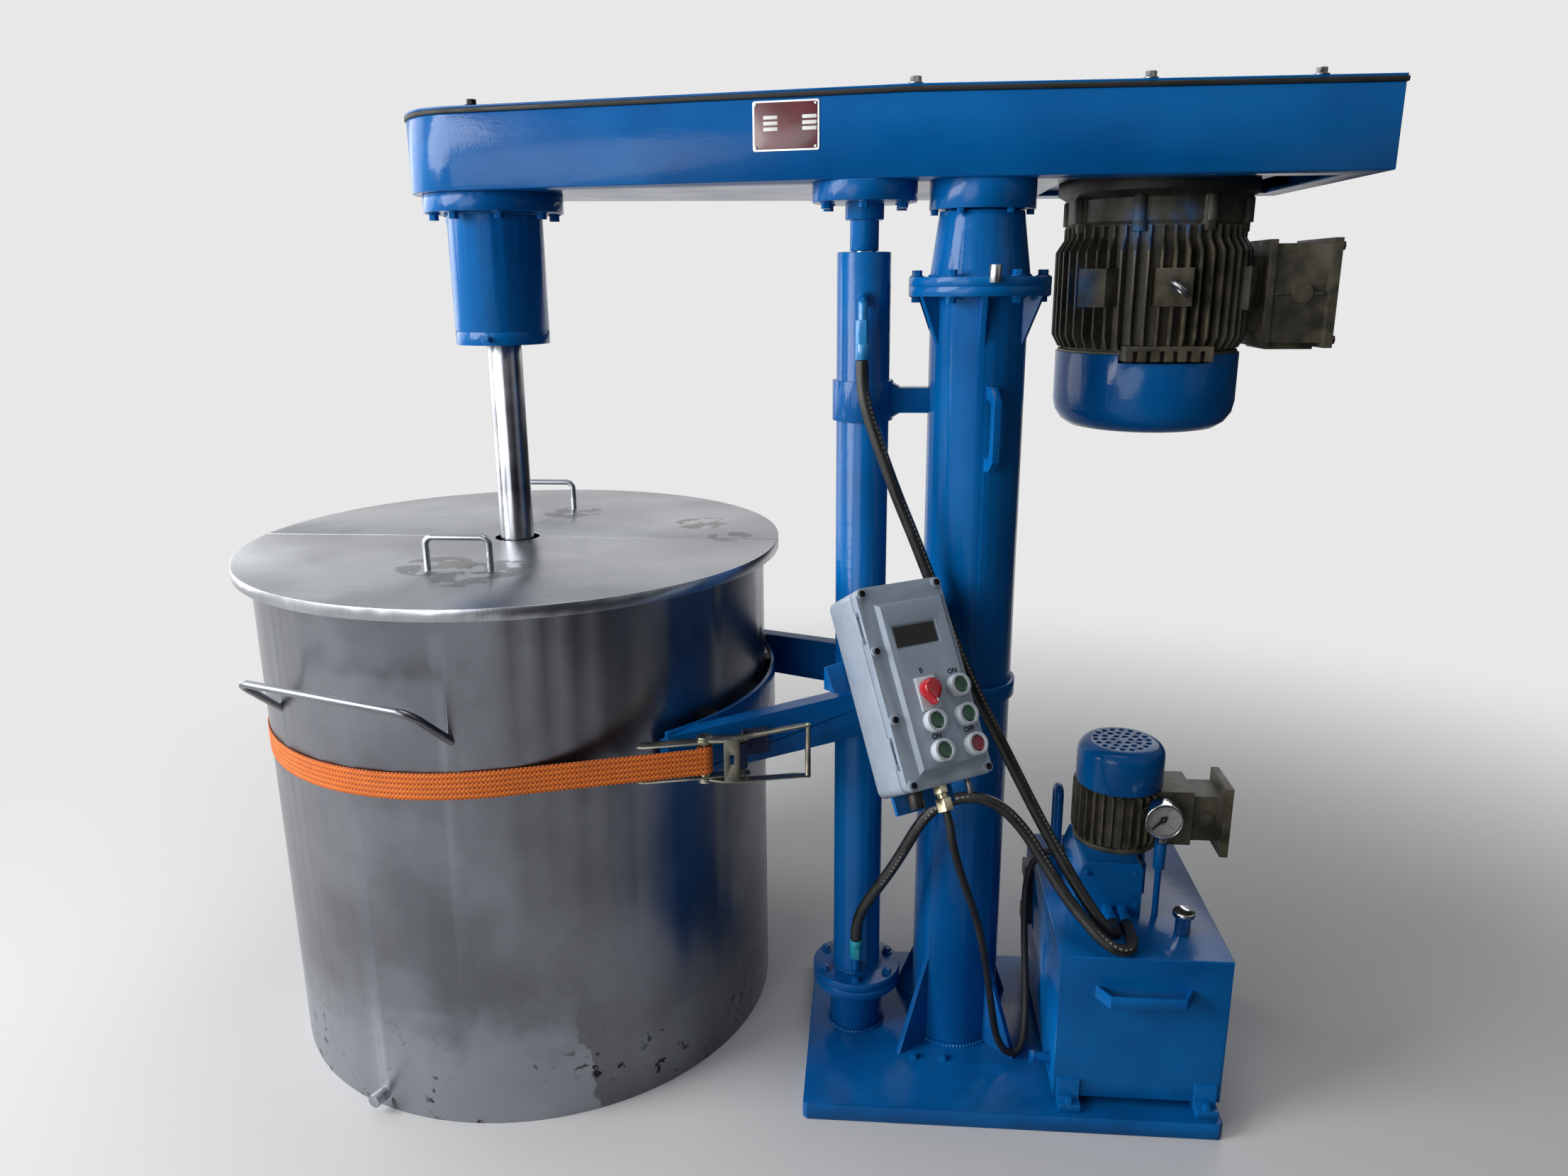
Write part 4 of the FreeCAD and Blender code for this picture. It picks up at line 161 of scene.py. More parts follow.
def greyCastPaint():
    material, tree, shader, where = newFinish("cast_iron_paint_grey", ior=1.5)
    paint = add(tree, "Mix", {0: patches(tree, where, 38, 0.3, 0.7, detail=4), 6: ink(castPaint["dark"]),
                              7: ink(castPaint["light"])}, 2, **rgba)
    for spot, reach in castPaint["spots"]:
        mist = add(tree, "Math", {0: near(tree, where, spot, reach),
                                  1: patches(tree, where, 30, 0.3, 0.6, 0.0, 0.8)}, operation="MULTIPLY")
        paint = add(tree, "Mix", {0: mist, 6: paint, 7: ink(castPaint["overspray"])}, 2, **rgba)
    # painted shade: from 1.61 m up the colour runs to near black, the shadow under the beam painted in
    height = add(tree, "SeparateXYZ", {0: where}, 2)
    paintedShade = add(tree, "MapRange", {"Value": height, 1: castPaint["paintedShadeFrom"], 2: castPaint["paintedShadeFull"]},
               **soft)
    paint = add(tree, "Mix", {0: paintedShade, 6: paint, 7: ink(castPaint["paintedShade"])}, 2, **rgba)
    dress(tree, shader, paint, patches(tree, where, 38, 0.3, 0.7, 0.42, 0.58),
          (patches(tree, where, castPaint["gritMm"], 0.2, 0.8, detail=2), 0.0005, 0.5))
    return material


# rolled stainless sheet, belt ground on the level: bright metal with a fine grain and cloudy handling marks
# painted light and shade: tank wall and lid are one and the same sheet; the lid's pair of colours is
# painted paler for the light on its upward face, and the tank's pair darker
sheetSteel = {"tank": ("#6b6d74", "#8c8f96"), "lid": ("#9da0a6", "#bdc0c5"), "grain": "#6b6e75",
              "grainMm": 1.3, "grainShare": 0.22}


def groundSheet(name, tone, stretch, marks=None):
    material, tree, shader, where = newFinish(name, metallic=1.0)
    steel = add(tree, "Mix", {0: patches(tree, where, 260, 0.3, 0.7, detail=5), 6: ink(sheetSteel[tone][0]),
                              7: ink(sheetSteel[tone][1])}, 2, **rgba)
    brushed = add(tree, "Mapping", {"Vector": where, "Scale": stretch})
    grain = patches(tree, brushed, sheetSteel["grainMm"] * 1000, 0.3, 0.7)
    faint = add(tree, "Math", {0: grain, 1: sheetSteel["grainShare"]}, operation="MULTIPLY")
    steel = add(tree, "Mix", {0: faint, 6: steel, 7: ink(sheetSteel["grain"])}, 2, **rgba)
    rough = patches(tree, where, 210, 0.25, 0.75, 0.26, 0.38, 4)
    if marks:
        steel, rough = marks(tree, where, steel, rough)
    dress(tree, shader, steel, rough, (grain, 0.00015, 0.25))
    return material


# pools of dried product on the lid: each a point of the lid and the reach of its patches
spills = {"ink": "#6a6d6b", "pools": [((-0.985, -0.075, 1.011), 0.11), ((-0.86, -0.09, 1.011), 0.10),
                                      ((-0.90, -0.16, 1.011), 0.09), ((-0.55, 0.33, 1.011), 0.09),
                                      ((-0.47, 0.20, 1.011), 0.07), ((-0.86, 0.43, 1.011), 0.10)]}


def driedSpills(tree, where, steel, rough):
    edges = patches(tree, where, 42, 0.46, 0.50, detail=4)
    for pool, reach in spills["pools"]:
        stain = add(tree, "Math", {0: near(tree, where, pool, reach), 1: edges}, operation="MULTIPLY")
        stain = add(tree, "MapRange", {"Value": stain, 1: 0.35, 2: 0.5, 3: 0.0, 4: 0.6})
        steel = add(tree, "Mix", {0: stain, 6: steel, 7: ink(spills["ink"])}, 2, **rgba)
        rough = add(tree, "Math", {0: stain, 1: 0.15, 2: rough}, operation="MULTIPLY_ADD")
    return steel, rough


# the tank is made paler and rougher on its lower left, up to a ragged edge; low on the tank sit small dark
# drips
paleFoot = {"paleLeft": "#aeb2ba", "drip": "#191a1e", "edge": 0.062, "high": 0.27, "fade": 0.16,
         "across": (0.949, 0.316, 0.0), "middle": (-0.912, 0.182, 0.0)}


def wipedFoot(tree, where, steel, rough):
    height = add(tree, "SeparateXYZ", {0: where}, 2)
    ragged = patches(tree, where, 60, 0.2, 0.8, -0.045, 0.045, 4)
    fromMiddle = add(tree, "VectorMath", {0: where, 1: paleFoot["middle"]}, operation="SUBTRACT")
    across = add(tree, "VectorMath", {0: fromMiddle, 1: paleFoot["across"]}, "Value", operation="DOT_PRODUCT")
    across = add(tree, "Math", {0: across, 1: ragged}, operation="ADD")
    left = add(tree, "MapRange", {"Value": across, 1: paleFoot["edge"] + 0.002, 2: paleFoot["edge"]})
    rise = add(tree, "Math", {0: height, 1: ragged}, operation="ADD")
    low = add(tree, "MapRange", {"Value": rise, 1: paleFoot["high"], 2: paleFoot["high"] - paleFoot["fade"]},
              **soft)
    paleLeft = add(tree, "Math", {0: left, 1: low}, operation="MULTIPLY")
    faint = add(tree, "Math", {0: paleLeft, 1: 0.6}, operation="MULTIPLY")
    steel = add(tree, "Mix", {0: faint, 6: steel, 7: ink(paleFoot["paleLeft"])}, 2, **rgba)
    rough = add(tree, "Math", {0: paleLeft, 1: 0.1, 2: rough}, operation="MULTIPLY_ADD")
    drops = patches(tree, where, 21, 0.6, 0.62)
    places = patches(tree, where, 150, 0.5, 0.6)
    drips = add(tree, "Math", {0: drops, 1: places}, operation="MULTIPLY")
    rim = add(tree, "MapRange", {"Value": height, 1: 0.24, 2: 0.05}, **soft)
    drips = add(tree, "Math", {0: drips, 1: rim}, operation="MULTIPLY")
    return add(tree, "Mix", {0: drips, 6: steel, 7: ink(paleFoot["drip"])}, 2, **rgba), rough


# plain metals with slight cloudiness: two colours, lowest and highest roughness, cloud size in mm
metals = {
    "turned_steel": ("#84868b", "#a0a2a7", 0.2, 0.28, 60),  # bright streaks down a round bar
    "zinc_plate_yellow": ("#9c988a", "#bbb7a7", 0.26, 0.34, 30),  # faint straw tint over bent steel
    "bolt_steel": ("#6b6d70", "#9b9da0", 0.3, 0.45, 8),  # handled, a little dull
    "blackened_steel": ("#1b1b1d", "#2b2b2d", 0.35, 0.5, 8),  # oiled black with soft edges of light
    "grey_cast_iron": ("#2b2b2d", "#3d3d3f", 0.5, 0.65, 4),  # dark and dull
    "hard_chrome": ("#b9bcc2", "#ccced3", 0.06, 0.12, 40),  # clear reflections
    "bearing_bronze": ("#8a6c3c", "#a8854c", 0.3, 0.42, 20),  # warm brown shine
    "nickel_brass": ("#c6bb98", "#dcd3b5", 0.25, 0.33, 14),  # pale yellow, satin
    "plate_silver": ("#a9abad", "#c3c5c7", 0.25, 0.35, 12),  # bright, satin
}


def plainMetal(name):
    first, second, low, high, cloud = metals[name]
    material, tree, shader, where = newFinish(name, metallic=1.0)
    cloudy = patches(tree, where, cloud, 0.3, 0.7, detail=4)
    colour = add(tree, "Mix", {0: cloudy, 6: ink(first), 7: ink(second)}, 2, **rgba)
    dress(tree, shader, colour, patches(tree, where, cloud, 0.3, 0.7, low, high),
          (patches(tree, where, 2.5, 0.2, 0.8, detail=2), 0.00002, 0.1))
    return material


# plastics, rubbers and paints: two colours, lowest and highest roughness, then skin size in mm, depth of
# its bumps in m and coat
skinsOf = {
    "moulded_black_rubber": ("#0d0d0e", "#1b1b1c", 0.55, 0.7, 1.5, 0.0003, 0.0),  # soft black, no shine
    "hammered_grey_enamel": ("#95a2b1", "#9ca9b8", 0.34, 0.4, 5.0, 0.0002, 0.15),  # satin, dimpled
    "moulded_black_nylon": ("#101113", "#1e1f22", 0.4, 0.5, 1.0, 0.0002, 0.0),  # black, half dull
    "polished_red_plastic": ("#a80a18", "#b81022", 0.1, 0.16, 3.0, 0.00005, 0.6),  # wet-looking red
    "polished_green_lens": ("#0f4a30", "#145a3c", 0.2, 0.28, 3.0, 0.00005, 0.4),  # deep green gloss
    "polished_dark_red_lens": ("#6f0f20", "#82162a", 0.2, 0.28, 3.0, 0.00005, 0.4),  # deep red gloss
    "collar_white_plastic": ("#bcc5cc", "#c8d0d7", 0.3, 0.38, 2.0, 0.0001, 0.1),  # pale, satin
    "teal_enamel": ("#0f7f95", "#1790a6", 0.28, 0.36, 5.0, 0.0003, 0.3),  # a hose end of another make
    "union_blue_enamel": ("#1f7ab8", "#2b8ac8", 0.25, 0.34, 5.0, 0.0002, 0.3),  # paler than the frame
    "dial_white_enamel": ("#d9dad6", "#e0e0dc", 0.45, 0.5, 2.0, 0.00005, 0.0),  # flat off-white
    "printing_ink_black": ("#121212", "#1a1a1a", 0.5, 0.6, 2.0, 0.00005, 0.0),  # flat black
    "anodised_maroon": ("#4c1019", "#591722", 0.3, 0.38, 4.0, 0.00005, 0.2),  # dark red under a clear skin
    "display_glass_black": ("#030405", "#050608", 0.05, 0.08, 20.0, 0.00002, 0.3),  # black mirror
}


def plainSkin(name):
    first, second, low, high, skinMm, depth, coat = skinsOf[name]
    material, tree, shader, where = newFinish(name, coat=coat, coatRough=0.12, ior=1.48)
    cloudy = patches(tree, where, 40, 0.3, 0.7)
    colour = add(tree, "Mix", {0: cloudy, 6: ink(first), 7: ink(second)}, 2, **rgba)
    dress(tree, shader, colour, patches(tree, where, 40, 0.3, 0.7, low, high),
          (patches(tree, where, skinMm, 0.2, 0.8, detail=2), depth, 0.35))
    return material


# extruded black rubber over braid, with a row of short pale dashes along two sides, rubbed off in places
hoseCover = {"dark": "#0e0e0f", "grey": "#1e1e1f", "ink": "#8f8e86", "dashMm": 9, "share": 0.55,
             "sides": (0.70, 0.22), "halfWide": 0.026}


def hoseRubber():
    material, tree, shader, where = newFinish("braided_hose_cover", ior=1.5)
    along = add(tree, "SeparateXYZ", {0: add(tree, "UVMap")})
    dash = add(tree, "Math", {0: along, 1: hoseCover["dashMm"] * mm}, operation="DIVIDE")
    dash = add(tree, "Math", {0: dash}, operation="FRACT")
    dash = add(tree, "Math", {0: dash, 1: hoseCover["share"]}, operation="LESS_THAN")
    around = along.node.outputs[1]
    rows = [add(tree, "Math", {0: around, 1: side, 2: hoseCover["halfWide"]}, operation="COMPARE")
            for side in hoseCover["sides"]]
    either = add(tree, "Math", {0: rows[0], 1: rows[1]}, operation="MAXIMUM")
    mark = add(tree, "Math", {0: dash, 1: either}, operation="MULTIPLY")
    kept = patches(tree, where, 160, 0.47, 0.55, 0.0, 0.85)
    mark = add(tree, "Math", {0: mark, 1: kept}, operation="MULTIPLY")
    cover = add(tree, "Mix", {0: patches(tree, where, 25, 0.3, 0.7), 6: ink(hoseCover["dark"]),
                              7: ink(hoseCover["grey"])}, 2, **rgba)
    cover = add(tree, "Mix", {0: mark, 6: cover, 7: ink(hoseCover["ink"])}, 2, **rgba)
    dress(tree, shader, cover, patches(tree, where, 25, 0.3, 0.7, 0.34, 0.48),
          (patches(tree, where, 1.4, 0.2, 0.8, detail=2), 0.0003, 0.4))
    return material


# polyester webbing: ribs along the strap and picks that lean across them, both drawn as coarse as they need
# to show; the colours are those of the yarn and of the gaps
webbing = {"orange": ("#e0701a", "#8c3a09"), "navy": ("#1b2a55", "#0b1226"), "ribMm": 9.5, "pickMm": 7.5,
           "lean": 1.3}


def wovenStrap(name, tone):
    yarn, gap = webbing[tone]
    material, tree, shader, where = newFinish(name, roughness=0.75, sheen=0.08, ior=1.5)
    along = add(tree, "SeparateXYZ", {0: add(tree, "UVMap")})
    rib = add(tree, "Math", {0: along.node.outputs[1], 1: 2 * math.pi / (webbing["ribMm"] * mm)},
              operation="MULTIPLY")
    rib = add(tree, "Math", {0: rib}, operation="COSINE")
    pick = add(tree, "Math", {0: along, 1: 2 * math.pi / (webbing["pickMm"] * mm)}, operation="MULTIPLY")
    pick = add(tree, "Math", {0: rib, 1: webbing["lean"], 2: pick}, operation="MULTIPLY_ADD")
    pick = add(tree, "Math", {0: pick}, operation="SINE")
    weave = add(tree, "Math", {0: pick, 1: 0.8, 2: rib}, operation="MULTIPLY_ADD")
    thread = add(tree, "MapRange", {"Value": weave, 1: -1.6, 2: -0.1}, **soft)
    cloth = add(tree, "Mix", {0: thread, 6: ink(gap), 7: ink(yarn)}, 2, **rgba)
    soil = patches(tree, where, 70, 0.4, 0.8, 0.0, 0.35, 4)
    cloth = add(tree, "Mix", {0: soil, 6: cloth, 7: ink(gap)}, 2, **rgba)
    dress(tree, shader, cloth, patches(tree, where, 20, 0.3, 0.7, 0.65, 0.8), (weave, 0.0007, 0.6))
    return material


# pressed glass in front of the dial: clear, with lightly smeared reflections
def clearLens():
    material, tree, shader, where = newFinish("gauge_lens_glass", transmission=1.0, ior=1.5)
    tree.links.new(patches(tree, where, 16, 0.3, 0.8, 0.01, 0.06), shader.inputs["Roughness"])
    return material


print("finishes")
finish = {name: plainMetal(name) for name in metals}
finish.update({name: plainSkin(name) for name in skinsOf})
finish["enamel"] = blueEnamel()
finish["castPaint"] = greyCastPaint()
finish["tankSheet"] = groundSheet("ground_stainless_tank", "tank", (3, 3, 1000), wipedFoot)
# the lid takes the paler pair of colours: painted light on its upward face
finish["lidSheet"] = groundSheet("ground_stainless_lid_painted_paler", "lid", (4, 1000, 4), driedSpills)
finish["toothSheet"] = groundSheet("cut_stainless_disc", "tank", (60, 60, 60))
finish["hose"] = hoseRubber()
finish["orangeWeb"] = wovenStrap("polyester_webbing_orange", "orange")
finish["navyWeb"] = wovenStrap("polyester_webbing_navy", "navy")
finish["lens"] = clearLens()


# Meshes

# a piece in its finish that rides a body; it may stand for CAD nodes
def newPiece(name, mesh, body, look, stands=()):
    piece = bpy.data.objects.new(name, mesh)
    bpy.context.scene.collection.objects.link(piece)
    mesh.materials.clear()
    mesh.materials.append(finish[look])
    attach(piece, body)
    if stands:
        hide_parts(*stands)
    return piece


# one quad for each cell of a grid of points; its columns join up, and its rows where wrapped; several grids
# make several copies; uv holds a value for each row, for each column and for the far side of the last one
def gridMesh(name, grid, wrapRows=False, uv=None, caps=False):
    grid = grid if grid.ndim == 4 else grid[None]
    copies, rows, cols = grid.shape[:3]
    ids = np.arange(copies * rows * cols).reshape(copies, rows, cols)
    loops = np.concatenate([ids, ids[:, :1]], axis=1) if wrapRows else ids
    loops = np.concatenate([loops, loops[:, :, :1]], axis=2)
    quads = np.stack([loops[:, :-1, :-1], loops[:, 1:, :-1], loops[:, 1:, 1:], loops[:, :-1, 1:]], axis=-1)
    faces = quads.reshape(-1, 4).tolist()
    if caps:
        faces += ids[:, 0].tolist() + ids[:, -1, ::-1].tolist()
    mesh = bpy.data.meshes.new(name)
    mesh.from_pydata(grid.reshape(-1, 3).tolist(), [], faces)
    if uv is not None:
        layer = mesh.uv_layers.new(name="UVMap")
        across = np.append(uv[1], uv[2])
        r, c = np.meshgrid(np.arange(loops.shape[1] - 1), np.arange(loops.shape[2] - 1), indexing="ij")
        spread = np.stack([np.stack([uv[0][r + dr], across[c + dc]], axis=-1)
                           for dr, dc in ((0, 0), (1, 0), (1, 1), (0, 1))], axis=2).reshape(-1, 2)
        flat = np.zeros((len(mesh.loops), 2))
        flat[:len(spread)] = spread
        layer.data.foreach_set("uv", flat.ravel())
    return mesh


# turns every face outwards and shades it smooth; doubles nearer than a distance in m are merged first
def faceOut(mesh, merge=None):
    work = bmesh.new()
    work.from_mesh(mesh)
    if merge:
        bmesh.ops.remove_doubles(work, verts=work.verts, dist=merge)
    bmesh.ops.recalc_face_normals(work, faces=work.faces)
    work.to_mesh(mesh)
    work.free()
    mesh.shade_smooth()


# closes a mesh at its poles and keeps edges sharp beyond an angle
def settle(mesh, angle=35):
    faceOut(mesh, 1e-6)
    mesh.set_sharp_from_angle(angle=math.radians(angle))
    return mesh


# a profile of (radius, height) rows in mm turned round the third axis of a frame, once at each spot
def turnedAt(name, profile, spots, frameOf=np.eye(3), steps=64):
    r, h = (np.array(profile, float) * mm).T
    a = np.linspace(0, 2 * math.pi, steps, endpoint=False)
    ring = np.stack([r[:, None] * np.cos(a), r[:, None] * np.sin(a), h[:, None] + 0 * a], axis=-1)
    grids = (ring @ frameOf.T)[None] + np.array(spots, float)[:, None, None] * mm
    return settle(gridMesh(name, grids))


# rounded plate: outlines one above another, lowest first, each as its (inset, height) in mm
def plateAt(name, wide, high, corner, levels, spots, frameOf):
    a = np.linspace(0, math.pi / 2, 7) + np.arange(4)[:, None] * math.pi / 2
    signs = np.array([[1, 1], [-1, 1], [-1, -1], [1, -1]])
    inset, rise = np.array(levels, float).T
    r = np.maximum(corner - inset, 0.1)[:, None, None, None]
    half = np.array([wide, high]) / 2 - inset[:, None, None, None] - r
    flat = signs[:, None] * half + r * np.stack([np.cos(a), np.sin(a)], axis=-1)
    flat = flat.reshape(len(levels), -1, 2)
    grid = np.concatenate([flat, np.broadcast_to(rise[:, None, None], flat.shape[:2] + (1,))], axis=2) * mm
    grids = (grid @ frameOf.T)[None] + np.array(spots, float)[:, None, None] * mm
    return settle(gridMesh(name, grids, caps=True))


# weld bead: a small ring carried round a level circle, swelling once for each ripple
def weldRing(name, middle, radius, bead, ripple=6.5):
    count = int(2 * math.pi * radius / ripple)
    u = np.linspace(0, 2 * math.pi, count * 4, endpoint=False)[:, None]
    v = np.linspace(0, 2 * math.pi, 10, endpoint=False)
    thick = bead * (1 + 0.16 * np.cos(u * count) + 0.08 * np.sin(u * 7))
    out = radius + thick * np.cos(v)
    grid = np.stack([out * np.cos(u), out * np.sin(u), thick * np.sin(v)], axis=-1) + np.array(middle)
    return settle(gridMesh(name, grid * mm, wrapRows=True))


# figures or plain words as thin solid shapes on a face: (text, across, up) in the face's own mm
printDeep = 0.12


def figures(name, rows, size, middle, frameOf, bold=0.0):
    work = bmesh.new()
    for text, across, up in rows:
        curve = bpy.data.curves.new(name, "FONT")
        curve.body = text
        curve.size, curve.extrude, curve.offset = size * mm, printDeep * mm, bold * mm
        curve.align_x, curve.align_y = "CENTER", "CENTER"
        holder = bpy.data.objects.new(name, curve)
        bpy.context.scene.collection.objects.link(holder)
        bpy.context.view_layer.update()
        flat = bpy.data.meshes.new_from_object(holder)
        spots = np.zeros(len(flat.vertices) * 3)
        flat.vertices.foreach_get("co", spots)
        spots = (spots.reshape(-1, 3) + np.array([across, up, 0]) * mm) @ frameOf.T + np.array(middle) * mm
        flat.vertices.foreach_set("co", spots.ravel())
        work.from_mesh(flat)
        bpy.data.objects.remove(holder)
    mesh = bpy.data.meshes.new(name)
    work.to_mesh(mesh)
    work.free()
    return mesh


# a merged copy of a CAD node with its edges rounded; a zone gives the faces inside a box their own finish
def skin(node, look, radius, zones=(), angle=32):
    source = nodes[node]
    mesh = source.data.copy()
    mesh.name = node + "_skin"
    work = bmesh.new()
    work.from_mesh(mesh)
    bmesh.ops.remove_doubles(work, verts=work.verts, dist=2e-6)
    bmesh.ops.dissolve_limit(work, angle_limit=math.radians(0.5), verts=work.verts, edges=work.edges)
    work.to_mesh(mesh)
    work.free()
    mesh.shade_smooth()
    piece = newPiece(node + "_skin", mesh, source["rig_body"], look, [node])
    middles = np.zeros(len(mesh.polygons) * 3)
    mesh.polygons.foreach_get("center", middles)
    middles = middles.reshape(-1, 3) / mm
    chosen = np.zeros(len(middles), dtype=np.int32)
    for index, (low, high, zoneLook, local) in enumerate(zones):
        mesh.materials.append(finish[zoneLook])
        spots = (middles - boxMiddle) @ boxFrame if local else middles
        inside = np.all((spots > np.array(low)) & (spots < np.array(high)), axis=1)
        chosen[inside] = index + 1
    mesh.polygons.foreach_set("material_index", chosen)
    edge = piece.modifiers.new("edges", "BEVEL")
    edge.width = radius * mm
    edge.segments = 2
    edge.limit_method = "ANGLE"
    edge.angle_limit = math.radians(angle)
    edge.harden_normals = True


# the control box has its own axes: across, into the box and up; its face frame is across, up and outwards
boxMiddle = np.array([-110.0, -225.0, 850.0])
turn, tilt = math.radians(33.6), math.radians(-29.5)
turned = np.array([[math.cos(turn), -math.sin(turn), 0], [math.sin(turn), math.cos(turn), 0], [0, 0, 1]])
tilted = np.array([[1, 0, 0], [0, math.cos(tilt), -math.sin(tilt)], [0, math.sin(tilt), math.cos(tilt)]])
boxFrame = turned @ tilted
faceFrame = np.stack([boxFrame[:, 0], boxFrame[:, 2], -boxFrame[:, 1]], axis=1)
frontFrame = np.array([[1, 0, 0], [0, 0, -1], [0, 1, 0]], float)  # across, up and towards -Y


# a point of the control box from its own across, inward and up
def onBox(across, inward, up):
    return boxMiddle + boxFrame @ np.array([across, inward, up], float)


# Rigid pieces: finish, edge radius in mm

skins = {
    "base_plate": ("enamel", 1.5), "outer_column": ("enamel", 1.5), "column_head": ("enamel", 1.5),
    "guide_bush": ("bearing_bronze", 0.4), "ram_tube": ("hard_chrome", 1.0),
    "cylinder_pedestal": ("enamel", 1.5), "cylinder_barrel": ("enamel", 1.5),
    "piston_rod": ("hard_chrome", 0.5), "rod_end": ("enamel", 1.5), "cylinder_clamp": ("enamel", 2.0),
    "hose_fittings": ("enamel", 0.8), "frame_bolts": ("enamel", 0.8), "beam_housing": ("enamel", 2.0),
    "beam_gasket": ("moulded_black_rubber", 1.5), "beam_cover": ("enamel", 1.0),
    "spindle_housing": ("enamel", 1.5), "spindle_bearings": ("bolt_steel", 0.8),
    "housing_cap": ("enamel", 1.5), "spindle_shaft": ("turned_steel", 1.0), "impeller": ("toothSheet", 0.5),
    "spindle_pulley": ("grey_cast_iron", 0.8), "motor_pulley": ("grey_cast_iron", 0.8),
    "drive_belts": ("moulded_black_rubber", 0.8), "motor_frame": ("castPaint", 1.0),
    "motor_plate": ("enamel", 1.0), "motor_shaft": ("turned_steel", 0.8),
    "motor_fan": ("moulded_black_nylon", 0.8), "motor_cowl": ("enamel", 1.2),
    "motor_terminal_box": ("castPaint", 3.0), "head_bolts": ("enamel", 0.8),
    "tank_shell": ("tankSheet", 1.2), "lid_front": ("lidSheet", 0.8), "lid_rear": ("lidSheet", 0.8),
    "tank_fork": ("enamel", 2.0), "fork_pads": ("moulded_black_rubber", 1.0),
    "ratchet_frame": ("zinc_plate_yellow", 0.6), "ratchet_handle": ("zinc_plate_yellow", 0.6),
    "reservoir": ("enamel", 1.2), "valve_block": ("enamel", 3.0), "pump_motor": ("castPaint", 0.8),
    "pump_cowl": ("enamel", 0.6), "pump_fan": ("moulded_black_nylon", 0.4),
    "gauge_case": ("hard_chrome", 1.2), "gauge_glass": ("lens", 0.3),
    "gauge_needle": ("printing_ink_black", 0.2),
    "pack_fittings": ("enamel", 1.0), "breather_cap": ("hard_chrome", 1.5),
    "control_box": ("hammered_grey_enamel", 1.5), "control_cover": ("hammered_grey_enamel", 0.8),
    "control_bracket": ("enamel", 1.5),
}

buttons = {"button_top_right": (55, -20), "button_mid_right": (54, -70), "button_stop": (56, -121),
           "button_mid_left": (-10, -69), "button_low_left": (-11, -119)}
coverScrews = [(-76, 162), (76, 162), (-77, 63), (-77, -53), (-76, -162), (76, -162)]

# boxes in mm whose faces have another finish; the last value is true for a box in the control box's axes
zonesOf = {
    "ram_tube": [((-95, -95, 1630), (95, 95, 1680), "enamel", False)],
    "hose_fittings": [((-216, -95, 222), (-184, -58, 265), "teal_enamel", False),
                      ((-216, -95, 1380), (-184, -58, 1482), "union_blue_enamel", False)],
    "frame_bolts": [((2, -144, 1506), (26, -119, 1542), "plate_silver", False)],
    "head_bolts": [((-880, -140, 1800), (600, 500, 1850), "bolt_steel", False),
                   ((-920, 30, 1800), (-880, 340, 1850), "blackened_steel", False),
                   ((300, -80, 1465), (362, 8, 1535), "bolt_steel", False)],
    "pack_fittings": [((352, -100, 499), (382, -70, 514), "hard_chrome", False),
                      ((145, 115, 185), (172, 167, 330), "moulded_black_nylon", False),
                      ((393, -153, 345), (415, -131, 382), "hard_chrome", False),
                      ((190, 28, 390), (216, 56, 420), "moulded_black_nylon", False)],
    "control_bracket": [((-45, -60, -260), (60, 60, -170), "nickel_brass", True),
                        ((-64, -14, -202), (-36, 14, -172), "moulded_black_nylon", True),
                        ((54, -6, -200), (66, 6, -172), "bolt_steel", True)],
    "control_cover": [((x - 19.6, -68, z - 19.6), (x + 19.6, -51.7, z + 19.6), "collar_white_plastic", True)
                      for x, z in buttons.values()] +
                     [((-26, -57, -51), (14, -51.5, 7), "collar_white_plastic", True)] +
                     [((x - 5.2, -49.6, z - 5.2), (x + 5.2, -47.2, z + 5.2), "bolt_steel", True)
                      for x, z in coverScrews],
}

print("rigid pieces")
for node, (look, radius) in skins.items():
    skin(node, look, radius, zonesOf.get(node, ()))


# Hoses and cable

route = {
    "top_hose": ("hose", 11, [
        (-200, -76.7, 1386), (-200, -76.7, 1366), (-199, -79, 1340), (-193, -84, 1305), (-170, -90, 1240),
        (-140, -94, 1160), (-108, -96, 1085), (-78, -96, 1010), (-48, -102, 935), (-14, -114, 852),
        (26, -120, 770), (68, -124, 690), (108, -132, 612), (150, -146, 535), (194, -166, 462),
        (222, -182, 420), (240, -192, 397), (254, -197, 380), (266, -194, 368), (273, -184, 362),
        (276, -170, 359), (276, -141.3, 359)]),
    "low_hose": ("hose", 11, [
        (-200, -76.7, 263), (-200, -76.7, 285), (-196, -80, 312), (-184, -87, 345), (-162, -95, 385),
        (-136, -103, 430), (-112, -110, 478), (-90, -116, 526), (-64, -121, 568), (-26, -127, 596),
        (18, -132, 604), (62, -138, 590), (102, -147, 552), (138, -161, 498), (178, -184, 439),
        (206, -202, 408), (226, -217, 389), (246, -229, 373), (264, -235, 364), (280, -233, 360),
        (293, -222, 359), (300, -204, 359), (302, -184, 359), (302, -141.3, 359)]),
    "control_cable": ("moulded_black_rubber", 7, [
        (-49.5, -312.5, 662), (-42.4, -323.2, 639.4), (-39, -322, 614), (-31, -307, 579), (-20, -285, 535),
        (-6, -258, 486), (10, -230, 432), (25, -204, 376), (38, -180, 314), (49, -160, 251),
        (59, -144, 186), (69, -132, 124), (78, -126, 84), (92, -125, 60), (106, -123, 51), (120, -116, 52),
        (130, -103, 66), (136, -84, 92), (139, -60, 126), (139, -36, 170), (138, -10, 222), (138, 14, 274),
        (140, 32, 322), (146, 42, 360), (158, 42, 388), (174, 42, 402), (184, 42, 405), (194, 42, 405)]),
}


